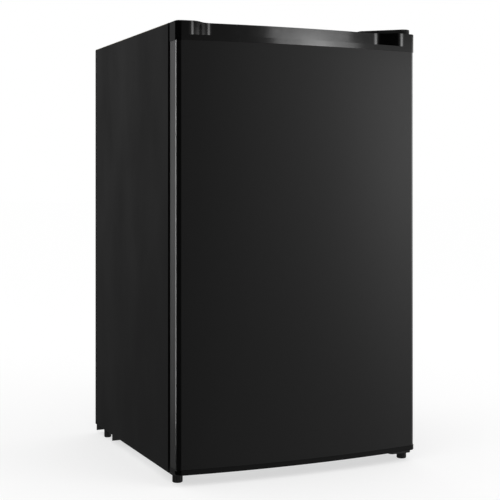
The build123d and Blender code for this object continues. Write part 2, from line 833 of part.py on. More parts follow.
# Top cap, open below for the foam, with the finger grip and its pocket.
with BuildPart() as door_top_cap:
    with BuildSketch(Plane.XY.offset(skin_top)):
        add(door_plan(-cap_proud))
    extrude(amount=top_cap_height)
    fillet(door_top_cap.faces().sort_by(Axis.Z)[-1].edges().sort_by(Axis.Y)[:-1], radius=1.5)
    with BuildSketch(Plane.XY.offset(skin_top)):
        add(door_plan(cap_wall - cap_proud, back=shell_back - cap_wall))
        add(grip_plan(cap_wall), mode=Mode.SUBTRACT)
    extrude(amount=top_cap_height - cap_wall, mode=Mode.SUBTRACT)
    add(pocket_wall.part)
    with BuildSketch(Plane.XY.offset(skin_top + grip_lip_height)):
        add(grip_plan())
    extrude(amount=top_cap_height, mode=Mode.SUBTRACT)
    add(grip_pocket.part, mode=Mode.SUBTRACT)
    add(hinge_posts(door_top - bush_length, door_top, bush_radius + boss_wall))
    add(hinge_posts(door_top - bush_length, door_top, bush_radius), mode=Mode.SUBTRACT)

# Bottom cap, a shallow tray the other way up.
with BuildPart() as door_bottom_cap:
    with BuildSketch(Plane.XY.offset(door_bottom)):
        add(door_plan(-cap_proud))
    extrude(amount=bottom_cap_height)
    fillet(door_bottom_cap.faces().sort_by(Axis.Z)[0].edges().sort_by(Axis.Y)[:-1], radius=1.5)
    with BuildSketch(Plane.XY.offset(door_bottom + cap_wall)):
        add(door_plan(cap_wall - cap_proud, back=shell_back - cap_wall))
    extrude(amount=bottom_cap_height, mode=Mode.SUBTRACT)
    add(hinge_posts(door_bottom, door_bottom + bush_length, bush_radius + boss_wall))
    add(hinge_posts(door_bottom, door_bottom + bush_length, bush_radius), mode=Mode.SUBTRACT)

# Liner of the door, with a raised frame that enters the cabinet and lugs for the racks.
liner_in = 3.0
with BuildPart() as door_liner:
    block(
        (-skin_half + liner_in, skin_half - liner_in),
        (shell_back, door_back),
        (door_bottom + liner_in, door_top - liner_in),
    )
    with BuildSketch(upright(door_back)):
        panel((-dike_half, dike_half), dike_z)
        panel((-bay_half, bay_half), (dike_z[0] + dike_width, dike_z[1] - dike_width), mode=Mode.SUBTRACT)
    extrude(amount=-dike_depth)
    dike_rim = door_liner.faces().sort_by(Axis.Y)[-1]
    fillet(dike_rim.edges(), radius=5)
    with BuildSketch(upright(shell_back)):
        panel(
            (-dike_half + door_liner_sheet, dike_half - door_liner_sheet),
            (dike_z[0] + door_liner_sheet, dike_z[1] - door_liner_sheet),
        )
        panel(
            (-bay_half - door_liner_sheet, bay_half + door_liner_sheet),
            (dike_z[0] + dike_width - door_liner_sheet, dike_z[1] - dike_width + door_liner_sheet),
            mode=Mode.SUBTRACT,
        )
    extrude(amount=-dike_depth, mode=Mode.SUBTRACT)
    for place, rack_z in rack_bottoms.items():
        lug_z = rack_z + rack_heights[place] / 2
        for side in (-1, 1):
            block(
                sorted((side * (bay_half - lug[0]), side * (bay_half + door_liner_sheet / 2))),
                (lug_y - lug[1] / 2, lug_y + lug[1] / 2),
                (lug_z - lug[2], lug_z),
            )

# Gasket: a soft frame with a chamber for the magnetic strips.
gasket_face = cabinet_front - gasket_clear
gasket_outer = half_width - gasket_in
gasket_z = (base_height + gasket_in, height - gasket_in)
magnet_face = gasket_face - 1.0


def draw_frame(outer, z_range, breadth):
    """A rectangular frame in the X-Z plane."""
    panel((-outer, outer), z_range)
    inner = outer - breadth
    panel((-inner, inner), (z_range[0] + breadth, z_range[1] - breadth), mode=Mode.SUBTRACT)


magnet_in = (gasket_width - magnet[0]) / 2
magnet_range = (gasket_z[0] + magnet_in, gasket_z[1] - magnet_in)
with BuildPart() as gasket_magnets:
    with BuildSketch(upright(magnet_face)):
        draw_frame(gasket_outer - magnet_in, magnet_range, magnet[0])
    extrude(amount=magnet[1])
with BuildPart() as door_gasket:
    with BuildSketch(upright(door_back)):
        draw_frame(gasket_outer, gasket_z, gasket_width)
    extrude(amount=-(gasket_face - door_back))
    add(gasket_magnets.part, mode=Mode.SUBTRACT)

# Foam inside the door.
with BuildPart() as door_foam:
    with BuildSketch(Plane.XY.offset(skin_bottom)):
        add(door_plan(sheet))
    extrude(amount=skin_top - skin_bottom)
    with BuildSketch(Plane.XY.offset(skin_top)):
        add(door_plan(cap_wall - cap_proud, back=shell_back - cap_wall))
    extrude(amount=top_cap_height - cap_wall)
    with BuildSketch(Plane.XY.offset(door_bottom + cap_wall)):
        add(door_plan(cap_wall - cap_proud, back=shell_back - cap_wall))
    extrude(amount=bottom_cap_height - cap_wall)
    with BuildSketch(upright(shell_back)):
        draw_frame(
            dike_half - door_liner_sheet,
            (dike_z[0] + door_liner_sheet, dike_z[1] - door_liner_sheet),
            dike_width - 2 * door_liner_sheet,
        )
    extrude(amount=-dike_depth)
    with BuildSketch(Plane.XY.offset(door_bottom)):
        with Locations((-hinge_x, hinge_y), (hinge_x, hinge_y)):
            Circle(bush_radius)
    extrude(amount=height, mode=Mode.SUBTRACT)
    for piece in (door_skin, door_top_cap, door_bottom_cap, door_liner, pocket_wall, grip_pocket):
        add(piece.part, mode=Mode.SUBTRACT)
    with BuildSketch(Plane.XY.offset(skin_top + grip_lip_height)):
        add(grip_plan())
    extrude(amount=top_cap_height, mode=Mode.SUBTRACT)


def make_rack(bottom, rack_height):
    """An open-topped door rack. Each end has a blind pocket that drops over a lug."""
    half = bay_half - part_clear
    rear = door_back + part_clear
    front = rear + rack_depth
    with BuildPart() as rack:
        block((-half, half), (rear, front), (bottom, bottom + rack_height))
        fillet(rack.edges().filter_by(Axis.Z).group_by(Axis.Y)[-1], radius=14)
        fillet(rack.edges().group_by(Axis.Z)[0].filter_by(lambda e: e.center().Y > rear + 1), radius=4)
        with BuildSketch(Plane.XY.offset(bottom + rack_wall)) as inside:
            panel((-half + rack_end, half - rack_end), (rear + rack_wall, front - rack_wall))
            fillet(inside.vertices().group_by(Axis.Y)[-1], radius=10)
        extrude(amount=rack_height, mode=Mode.SUBTRACT)
        pocket = sorted((lug_y - lug[1] / 2 - part_clear, lug_y + lug[1] / 2 + part_clear))
        for side in (-1, 1):
            block(
                sorted((side * (bay_half - lug[0] - part_clear), side * bay_half)),
                pocket,
                (bottom, bottom + rack_height / 2 + part_clear),
                mode=Mode.SUBTRACT,
            )
    return rack


racks = {place: make_rack(rack_z, rack_heights[place]) for place, rack_z in rack_bottoms.items()}

# ================================================================ hinges
pin_reach = 18.0
cover_nose = 13.0  # radius of the hinge cover's nose, round the hinge axis
cover_right = hinge_x + cover_nose
cover_left = hinge_x - 70.0
cover_back = cabinet_front + 83.0
cover_shoulder = cabinet_front + 17.0  # front end of the cover's left side


def hinge_plan(inset=0.0):
    """Outline of the top hinge cover, `inset` in from its edge."""
    across = hinge_x - cover_left
    forward = cover_shoulder - hinge_y
    lean = atan(forward / across) + asin(cover_nose / sqrt(across**2 + forward**2))
    with BuildSketch() as plan:
        with BuildLine():
            Polyline(
                (hinge_x, hinge_y),
                (cover_right, hinge_y),
                (cover_right, cover_back),
                (cover_left, cover_back),
                (cover_left, cover_shoulder),
                (hinge_x - cover_nose * sin(lean), hinge_y - cover_nose * cos(lean)),
                close=True,
            )
        make_face()
        with Locations((hinge_x, hinge_y)):
            Circle(cover_nose)
        if inset:
            offset(amount=-inset, kind=Kind.INTERSECTION)
    return plan.sketch


top_screw_places = [
    (hinge_x - 2, cabinet_front + 22),
    (hinge_x - 2, cabinet_front + 50),
    (hinge_x - 28, cabinet_front + 50),
]
screw_radius = 2.4
screw_head = 4.6
with BuildPart() as top_hinge_bracket:
    with BuildSketch(Plane.XY.offset(height)):
        add(hinge_plan(hinge_cover_wall + 1.2))
        with Locations((hinge_x, hinge_y)):
            Circle(pin_radius, mode=Mode.SUBTRACT)
        with Locations(*top_screw_places):
            Circle(screw_radius, mode=Mode.SUBTRACT)
    extrude(amount=hinge_plate)
with BuildPart() as top_hinge_screws:
    with BuildSketch(Plane.XY.offset(height + hinge_plate)):
        with Locations(*top_screw_places):
            Circle(screw_head)
    extrude(amount=2.4)
    with BuildSketch(Plane.XY.offset(height + hinge_plate)):
        with Locations(*top_screw_places):
            Circle(screw_radius)
    extrude(amount=-(hinge_plate + 10))
with BuildPart() as top_hinge_pin:
    with BuildSketch(Plane.XY.offset(door_top - pin_reach)):
        with Locations((hinge_x, hinge_y)):
            Circle(pin_radius)
    extrude(amount=height + hinge_plate + 1 - door_top + pin_reach)
    chamfer(top_hinge_pin.edges().group_by(Axis.Z)[0], length=1)
with BuildPart() as hinge_cover:
    with BuildSketch(Plane.XY.offset(height)) as cover_outline:
        add(hinge_plan())
        corners = cover_outline.vertices().filter_by_position(Axis.Y, cover_shoulder - 1, cover_back + 1)
        fillet(corners, radius=5)
    extrude(amount=hinge_cover_height)
    fillet(hinge_cover.edges().group_by(Axis.Z)[-1], radius=1.6)
    with BuildSketch(Plane.XY.offset(height)):
        add(hinge_plan(hinge_cover_wall))
    extrude(amount=hinge_cover_height - hinge_cover_wall, mode=Mode.SUBTRACT)

# Spare holes in the top, on the side where the hinge isn't, are plugged.
spare_screws = [(-x, y) for x, y in top_screw_places]
with BuildPart() as hole_plugs:
    with BuildSketch(Plane.XY.offset(height)):
        with Locations(*spare_screws):
            Circle(screw_head)
    extrude(amount=1.2)
    with BuildSketch(Plane.XY.offset(height)):
        with Locations(*spare_screws):
            Circle(screw_radius)
    extrude(amount=-6)
with BuildPart() as door_hole_plugs:
    for z, reach in ((door_top, -1), (door_bottom, 1)):
        with BuildSketch(Plane.XY.offset(z)):
            with Locations((-hinge_x, hinge_y)):
                Circle(bush_radius)
        extrude(amount=reach * (bush_length - 1))


with BuildPart() as hinge_bushes:
    for low in (door_bottom, door_top - bush_length):
        with BuildSketch(Plane.XY.offset(low)):
            with Locations((hinge_x, hinge_y)):
                Circle(bush_radius)
                Circle(pin_radius + pin_play, mode=Mode.SUBTRACT)
        extrude(amount=bush_length)

# Brackets under the front corners. The right-hand one also carries the door.
bracket_side = half_width - 4.0
bracket_inner = half_width - 52.0
bracket_back = cabinet_front + 70.0
bracket_screws = [(half_width - 20, cabinet_front + 52), (half_width - 42, cabinet_front + 28)]
left_foot = (-half_width + foot_in, cabinet_front - foot_forward)
right_foot = (half_width - hinge_foot_in, cabinet_front - hinge_foot_forward)


def make_bracket(side, foot_place, front, hinged):
    """A flat bracket under one front corner, with holes for its screws, its foot and the hinge pin."""
    with BuildPart() as plate:
        with BuildSketch(Plane.XY.offset(bracket_bottom)) as outline:
            panel(sorted((side * bracket_inner, side * bracket_side)), (front, bracket_back))
            fillet(outline.vertices(), radius=8)
            with Locations(*[(side * x, y) for x, y in bracket_screws]):
                Circle(screw_radius, mode=Mode.SUBTRACT)
            with Locations(foot_place):
                Circle(foot_stud_radius + pin_play, mode=Mode.SUBTRACT)
            if hinged:
                with Locations((side * hinge_x, hinge_y)):
                    Circle(pin_radius, mode=Mode.SUBTRACT)
        extrude(amount=bracket)
    return plate


lower_hinge_bracket = make_bracket(1, right_foot, hinge_y - 11, hinged=True)
left_foot_bracket = make_bracket(-1, left_foot, left_foot[1] - 11, hinged=False)
with BuildPart() as lower_hinge_pin:
    with BuildSketch(Plane.XY.offset(bracket_bottom - 1)):
        with Locations((hinge_x, hinge_y)):
            Circle(pin_radius)
    extrude(amount=door_bottom + pin_reach - bracket_bottom + 1)
    chamfer(lower_hinge_pin.edges().group_by(Axis.Z)[-1], length=1)
with BuildPart() as hinge_washer:
    with BuildSketch(Plane.XY.offset(base_height)):
        with Locations((hinge_x, hinge_y)):
            Circle(bush_radius + 1)
            Circle(pin_radius, mode=Mode.SUBTRACT)
    extrude(amount=door_bottom_gap - 0.4)
with BuildPart() as bracket_screw_set:
    for side in (-1, 1):
        with BuildSketch(Plane.XY.offset(bracket_bottom)):
            with Locations(*[(side * x, y) for x, y in bracket_screws]):
                Circle(screw_head)
        extrude(amount=-2)
        with BuildSketch(Plane.XY.offset(bracket_bottom)):
            with Locations(*[(side * x, y) for x, y in bracket_screws]):
                Circle(screw_radius)
        extrude(amount=bracket + 8)

# ================================================================ feet


def make_foot(place):
    """A levelling foot: a ribbed disc on a threaded stud."""
    with BuildPart() as foot:
        with BuildSketch(Plane.XY):
            with Locations(place):
                Circle(foot_radius)
        extrude(amount=foot_height)
        chamfer(foot.edges().group_by(Axis.Z)[0], length=1.2)
        with BuildSketch(Plane.XY):
            with Locations(place):
                with PolarLocations(foot_radius, 12):
                    Circle(1.0)
        extrude(amount=foot_height, mode=Mode.SUBTRACT)
        with BuildSketch(Plane.XY.offset(foot_height)):
            with Locations(place):
                Circle(foot_stud_radius)
        extrude(amount=bracket_bottom + bracket + 0.6 - foot_height)
    return foot


front_foot_left = make_foot(left_foot)
front_foot_right = make_foot(right_foot)

rear_foot_radius = 7.5
rear_foot_in = 10.0
rear_foot_y = cabinet_front + 400.0
rear_foot_places = [(side * (half_width - rear_foot_in), rear_foot_y) for side in (-1, 1)]
with BuildPart() as rear_feet:
    with BuildSketch(Plane.XY):
        with Locations(*rear_foot_places):
            Circle(rear_foot_radius)
    extrude(amount=comp_tray_bottom)
    chamfer(rear_feet.edges().group_by(Axis.Z)[0], length=1.2)

# ================================================================ cabinet foam and screw holes
screwed_down = [
    (top_screw_places, screw_radius, height, -(hinge_plate + 10)),
    (spare_screws, screw_radius, height, -6),
    ([(side * x, y) for side in (-1, 1) for x, y in bracket_screws], screw_radius, base_height, 8),
]
with BuildPart() as cabinet_foam:
    block(
        (-half_width + sheet, half_width - sheet),
        (cabinet_front + sheet, rear_flange_y),
        (base_height + sheet, height - sheet),
    )
    add(food_space(liner_sheet), mode=Mode.SUBTRACT)
    add(bay_space(sheet), mode=Mode.SUBTRACT)
    with BuildSketch(upright(rear_flange_y)):
        with Locations(*panel_screw_places):
            Circle(panel_screw_radius)
    extrude(amount=panel_screw_length, mode=Mode.SUBTRACT)
    with BuildSketch(Plane.XY.offset(bay_top)):
        with Locations((comp_x, drain_y)):
            Circle(drain_radius)
    extrude(amount=bay_wall + 5, mode=Mode.SUBTRACT)
    for piece in (cabinet_wrap, inner_liner, front_rail, condenser):
        add(piece.part, mode=Mode.SUBTRACT)

for drilled in (cabinet_foam, cabinet_wrap, bottom_shield):
    with drilled:
        for places, radius, level, reach in screwed_down:
            with BuildSketch(Plane.XY.offset(level)):
                with Locations(*places):
                    Circle(radius)
            extrude(amount=reach, mode=Mode.SUBTRACT)
with bottom_shield:
    with BuildSketch(Plane.XY.offset(bay_top - 1)):
        with Locations((comp_x, drain_y)):
            Circle(drain_radius)
    extrude(amount=sheet + 2, mode=Mode.SUBTRACT)

# ================================================================ write every piece
finished = {
    "cabinet_wrap": cabinet_wrap,
    "back_panel": back_panel,
    "back_panel_screws": back_panel_screws,
    "bottom_shield": bottom_shield,
    "front_rail": front_rail,
    "inner_liner": inner_liner,
    "cabinet_foam": cabinet_foam,
    "evaporator": evaporator,
    "evaporator_hangers": evaporator_hangers,
    "freezer_trim": freezer_trim,
    "freezer_flap": freezer_flap,
    "drip_tray": drip_tray,
    "tray_rails": tray_rails,
    "thermostat_housing": thermostat_housing,
    "thermostat_dial": thermostat_dial,
    "compressor_tray": compressor_tray,
    "compressor": compressor,
    "compressor_plate": compressor_plate,
    "compressor_grommets": compressor_grommets,
    "compressor_bolts": compressor_bolts,
    "terminal_cover": terminal_cover,
    "mains_gland": mains_gland,
    "evaporation_pan": evaporation_pan,
    "drain_tube": drain_tube,
    "discharge_pipe": discharge_pipe,
    "suction_pipe": suction_pipe,
    "process_pipe": process_pipe,
    "filter_drier": filter_drier,
    "capillary": capillary,
    "condenser": condenser,
    "door_skin": door_skin,
    "door_top_cap": door_top_cap,
    "door_bottom_cap": door_bottom_cap,
    "door_liner": door_liner,
    "door_foam": door_foam,
    "door_gasket": door_gasket,
    "gasket_magnets": gasket_magnets,
    "door_hole_plugs": door_hole_plugs,
    "hinge_bushes": hinge_bushes,
    "top_hinge_bracket": top_hinge_bracket,
    "top_hinge_screws": top_hinge_screws,
    "top_hinge_pin": top_hinge_pin,
    "hinge_cover": hinge_cover,
    "hole_plugs": hole_plugs,
    "lower_hinge_bracket": lower_hinge_bracket,
    "lower_hinge_pin": lower_hinge_pin,
    "hinge_washer": hinge_washer,
    "left_foot_bracket": left_foot_bracket,
    "bracket_screws": bracket_screw_set,
    "front_foot_left": front_foot_left,
    "front_foot_right": front_foot_right,
    "rear_feet": rear_feet,
}
for name, (glass, moulding) in shelves.items():
    finished[f"shelf_glass_{name}"] = glass
    finished[f"shelf_trim_{name}"] = moulding
for name, rack in racks.items():
    finished[f"door_rack_{name}"] = rack

os.makedirs("parts", exist_ok=True)
for name, piece in finished.items():
    piece.part.label = name
    export_step(piece.part, f"parts/{name}.step")
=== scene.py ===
# %% [markdown]
# # A compact refrigerator, finished for rendering
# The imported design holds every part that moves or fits, in metres, standing on the floor with its
# door facing -Y. This lesson dresses those parts: it gives each one a believable finish, rebuilds
# the ones whose look depends on soft edges or fine relief, and adds the small things that a
# design model leaves out, such as screw slots, refrigerant channels and the dial's numbers.

# %% Load the frame
import json
import math

import bmesh
import bpy
from mathutils import Matrix, Vector


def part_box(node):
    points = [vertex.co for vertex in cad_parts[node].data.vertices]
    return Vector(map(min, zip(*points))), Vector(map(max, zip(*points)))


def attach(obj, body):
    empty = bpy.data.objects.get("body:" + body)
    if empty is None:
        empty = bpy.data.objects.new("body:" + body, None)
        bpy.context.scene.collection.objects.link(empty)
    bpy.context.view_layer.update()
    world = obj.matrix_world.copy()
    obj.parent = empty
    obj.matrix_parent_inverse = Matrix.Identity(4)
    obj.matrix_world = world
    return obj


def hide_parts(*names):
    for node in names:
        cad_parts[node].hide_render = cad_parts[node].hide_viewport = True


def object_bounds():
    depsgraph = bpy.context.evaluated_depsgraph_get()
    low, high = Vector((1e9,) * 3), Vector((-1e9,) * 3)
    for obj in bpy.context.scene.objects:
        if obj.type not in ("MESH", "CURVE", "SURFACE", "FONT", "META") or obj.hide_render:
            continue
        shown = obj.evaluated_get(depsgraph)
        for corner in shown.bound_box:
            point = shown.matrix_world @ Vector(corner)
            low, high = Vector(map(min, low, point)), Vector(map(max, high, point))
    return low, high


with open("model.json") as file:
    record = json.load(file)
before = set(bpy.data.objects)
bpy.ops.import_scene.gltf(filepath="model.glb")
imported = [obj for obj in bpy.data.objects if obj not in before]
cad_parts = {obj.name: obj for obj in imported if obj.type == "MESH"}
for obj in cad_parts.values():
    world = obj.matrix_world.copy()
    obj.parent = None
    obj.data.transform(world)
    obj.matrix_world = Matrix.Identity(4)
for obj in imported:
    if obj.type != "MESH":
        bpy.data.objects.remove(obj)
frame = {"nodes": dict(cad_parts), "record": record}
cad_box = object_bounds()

NODES = frame["nodes"]
MM = 0.001
low, high = cad_box
print("object size in mm:", [round((high[i] - low[i]) / MM, 1) for i in range(3)])


# %% [markdown]
# ## Finishes
# Every finish is a node tree on the Principled shader. Colours and roughness vary a little with
# noise in Object coordinates, because even a new appliance isn't perfectly even: paint has a fine
# orange-peel skin, moulded plastic a faint mottle, and drawn metal runs of fine lines. Values that
# are the same all over stay on the shader's own sockets, so that they survive an export.

# %% A helper that makes a finish
def finish(name, colour, roughness, *, metallic=0.0, coat=0.0, spread=0.08, rough_spread=0.05,
           scale=(60, 60, 60), bump=0.1, bump_scale=(900, 900, 900), bump_height=0.00005, **sockets):
    """A Principled material whose colour, roughness and relief vary with noise."""
    material = bpy.data.materials.new(name)
    material.use_nodes = True
    tree = material.node_tree
    nodes, links = tree.nodes, tree.links
    shader = nodes["Principled BSDF"]
    shader.inputs["Metallic"].default_value = metallic
    shader.inputs["Coat Weight"].default_value = coat
    for socket, value in sockets.items():
        shader.inputs[socket.replace("_", " ")].default_value = value
    place = nodes.new("ShaderNodeTexCoord")

    def noise(stretch, detail):
        mapping = nodes.new("ShaderNodeMapping")
        mapping.inputs["Scale"].default_value = stretch
        texture = nodes.new("ShaderNodeTexNoise")
        texture.inputs["Scale"].default_value = 1.0
        texture.inputs["Detail"].default_value = detail
        links.new(place.outputs["Object"], mapping.inputs["Vector"])
        links.new(mapping.outputs["Vector"], texture.inputs["Vector"])
        return texture.outputs["Fac"]

    mottle = noise(scale, 4)
    ramp = nodes.new("ShaderNodeValToRGB")
    dark = [c * (1 - spread) for c in colour]
    light = [min(1, c * (1 + spread)) for c in colour]
    ramp.color_ramp.elements[0].color = (*dark, 1)
    ramp.color_ramp.elements[1].color = (*light, 1)
    ramp.color_ramp.elements[0].position = 0.35
    ramp.color_ramp.elements[1].position = 0.65
    links.new(mottle, ramp.inputs["Fac"])
    links.new(ramp.outputs["Color"], shader.inputs["Base Color"])
    gloss = nodes.new("ShaderNodeMapRange")
    gloss.inputs["From Min"].default_value = 0.3
    gloss.inputs["From Max"].default_value = 0.7
    gloss.inputs["To Min"].default_value = max(0.02, roughness - rough_spread)
    gloss.inputs["To Max"].default_value = roughness + rough_spread
    links.new(mottle, gloss.inputs["Value"])
    links.new(gloss.outputs["Result"], shader.inputs["Roughness"])
    if bump:
        relief = nodes.new("ShaderNodeBump")
        relief.inputs["Strength"].default_value = bump
        relief.inputs["Distance"].default_value = bump_height
        links.new(noise(bump_scale, 2), relief.inputs["Height"])
        links.new(relief.outputs["Normal"], shader.inputs["Normal"])
    return material


# %% The finishes
LINER = dict(colour=(0.80, 0.82, 0.83), roughness=0.30, spread=0.008, rough_spread=0.01,
             scale=(30, 30, 30), bump=0.15, bump_scale=(250, 250, 250), Subsurface_Weight=0.05)
FINISHES = {
    "cabinet_paint": finish("cabinet_paint", (0.0035, 0.0035, 0.0036), 0.34, bump=0.25,
                            bump_scale=(420, 420, 420), scale=(9, 9, 4)),
    "door_steel": finish("door_steel", (0.0012, 0.0012, 0.0012), 0.32, coat=1.0, bump=0.1,
                         bump_scale=(300, 300, 300), scale=(6, 6, 3), Coat_Roughness=0.12,
                         Specular_IOR_Level=0.35),
    "cap_plastic": finish("cap_plastic", (0.0012, 0.0012, 0.0012), 0.12, rough_spread=0.02, bump=0.08),
    "hinge_cover_plastic": finish("hinge_cover_plastic", (0.008, 0.008, 0.008), 0.55, bump=0.5,
                                  bump_scale=(1500, 1500, 1500)),
    "liner_white": finish("liner_white", **LINER),
    "door_liner_white": finish("door_liner_white", **LINER),
    "foam": finish("foam", (0.72, 0.60, 0.34), 0.9, spread=0.2, scale=(90, 90, 90), bump=0.8,
                   bump_scale=(600, 600, 600), bump_height=0.0004),
    # The seal's rubber is black, and its colour is set darker still as painted shade, so the gap round
    # the closed door looks black.
    "gasket_rubber": finish("gasket_rubber", (0.0025, 0.0025, 0.0025), 0.62, bump=0.3,
                            Specular_IOR_Level=0.25),
    "magnet_strip": finish("magnet_strip", (0.03, 0.028, 0.027), 0.7, bump=0.3),
    "zinc_steel": finish("zinc_steel", (0.50, 0.52, 0.54), 0.38, metallic=0.9, spread=0.18,
                         rough_spread=0.12, scale=(70, 70, 70), bump=0.2),
    "black_steel": finish("black_steel", (0.018, 0.018, 0.018), 0.45, bump=0.3),
    "screw_steel": finish("screw_steel", (0.55, 0.56, 0.57), 0.3, metallic=1.0, spread=0.1, bump=0.15),
    "evaporator_aluminium": finish("evaporator_aluminium", (0.72, 0.74, 0.76), 0.34, metallic=0.9,
                                   spread=0.05, scale=(8, 400, 8), bump=0.15, bump_scale=(40, 1500, 40)),
    "clear_plastic": finish("clear_plastic", (0.84, 0.91, 0.95), 0.22, spread=0.03, bump=0.1,
                            Transmission_Weight=0.85, IOR=1.5),
    "rack_plastic": finish("rack_plastic", (0.94, 0.97, 0.99), 0.10, spread=0.02, bump=0.06,
                           Transmission_Weight=0.92, IOR=1.5),
    "white_plastic": finish("white_plastic", (0.78, 0.79, 0.79), 0.38, spread=0.03, bump=0.2,
                            Subsurface_Weight=0.04),
    "shelf_glass": finish("shelf_glass", (0.80, 0.93, 0.88), 0.05, spread=0.02, rough_spread=0.02,
                          bump=0.0, Transmission_Weight=1.0, IOR=1.5),
    "compressor_black": finish("compressor_black", (0.010, 0.010, 0.010), 0.25, coat=0.4, spread=0.2,
                               scale=(40, 40, 40), bump=0.5, bump_scale=(180, 180, 180)),
    "grommet_rubber": finish("grommet_rubber", (0.02, 0.02, 0.02), 0.75, bump=0.4),
    "black_plastic": finish("black_plastic", (0.012, 0.012, 0.012), 0.5, bump=0.4),
    "copper": finish("copper", (0.62, 0.28, 0.16), 0.3, metallic=1.0, spread=0.2, rough_spread=0.1,
                     scale=(120, 120, 30), bump=0.1),
    "bush_plastic": finish("bush_plastic", (0.70, 0.68, 0.62), 0.4, spread=0.03, bump=0.1),
}
slot_of = {s["node"]: s["material_slot"] for s in frame["record"]["subparts"]}
for node, piece in NODES.items():
    piece.data.materials.clear()
    piece.data.materials.append(FINISHES[slot_of[node]])
print(len(FINISHES), "finishes on", len(NODES), "design nodes")


# %% [markdown]
# ## Reading places off the design
# Screws, vents and numbers have to sit exactly where the design puts them. A design node can hold
# several separate solids, such as all the screws of the back panel, and each one's box says where
# it is and how big. Their corners aren't joined, so a copy is merged first and then walked from
# edge to edge until every separate lump is found.

# %% The separate lumps of a design node
def lumps(node):
    """The boxes of a design node's separate solids, as (low, high) pairs."""
    mesh = bmesh.new()
    mesh.from_mesh(NODES[node].data)
    bmesh.ops.remove_doubles(mesh, verts=mesh.verts, dist=0.00001)
    waiting = set(mesh.verts)
    boxes = []
    while waiting:
        start = waiting.pop()
        lump, frontier = [start], [start]
        while frontier:
            corner = frontier.pop()
            for link in corner.link_edges:
                other = link.other_vert(corner)
                if other in waiting:
                    waiting.discard(other)
                    lump.append(other)
                    frontier.append(other)
        low = Vector([min(v.co[i] for v in lump) for i in range(3)])
        high = Vector([max(v.co[i] for v in lump) for i in range(3)])
        boxes.append((low, high))
    mesh.free()
    return sorted(boxes, key=lambda box: tuple(box[0]))


def new_piece(name, mesh, body, slot, stands_for=(), worn=None):
    """An object for a finished mesh, attached to its body, with the design nodes it stands for
    hidden. It wears the slot's finish, or another where one is given."""
    piece = bpy.data.objects.new(name, mesh)
    bpy.context.scene.collection.objects.link(piece)
    mesh.materials.clear()
    mesh.materials.append(FINISHES[worn or slot])
    if stands_for:
        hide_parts(*stands_for)
    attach(piece, body)


def mesh_from(build, name, smooth=30):
    """A mesh from a bmesh, with smooth shading across edges flatter than the given angle."""
    bmesh.ops.recalc_face_normals(build, faces=build.faces)
    mesh = bpy.data.meshes.new(name)
    build.to_mesh(mesh)
    build.free()
    mesh.shade_smooth()
    mesh.set_sharp_from_angle(angle=math.radians(smooth))
    return mesh


# %% [markdown]
# ## Cross-head screws
# Pan-head screws hold the back panel, the corner brackets and the top hinge. Each head is a low
# dome with a cross recess, and no two recesses point the same way, because each screw was driven
# until it was tight. One node tree makes the head once and sets it on every place. A random turn
# with a fixed seed gives each its own angle.

# %% A node tree for screws
def geometry_tree(name, inputs):
    """An empty geometry tree with named inputs after its geometry."""
    tree = bpy.data.node_groups.new(name, "GeometryNodeTree")
    tree.interface.new_socket("Geometry", in_out="OUTPUT", socket_type="NodeSocketGeometry")
    tree.interface.new_socket("Geometry", in_out="INPUT", socket_type="NodeSocketGeometry")
    for label, kind, value in inputs:
        socket = tree.interface.new_socket(label, in_out="INPUT", socket_type=kind)
        if value is not None:
            socket.default_value = value
    return tree, tree.nodes.new("NodeGroupInput").outputs, tree.nodes.new("NodeGroupOutput").inputs


def dress(tree, geometry, worn, result):
    """Ends a tree: instances made real, one finish on everything, then out."""
    real = tree.nodes.new("GeometryNodeRealizeInstances")
    dressed = tree.nodes.new("GeometryNodeSetMaterial")
    tree.links.new(geometry, real.inputs[0])
    tree.links.new(real.outputs[0], dressed.inputs["Geometry"])
    tree.links.new(worn, dressed.inputs["Material"])
    tree.links.new(dressed.outputs[0], result)


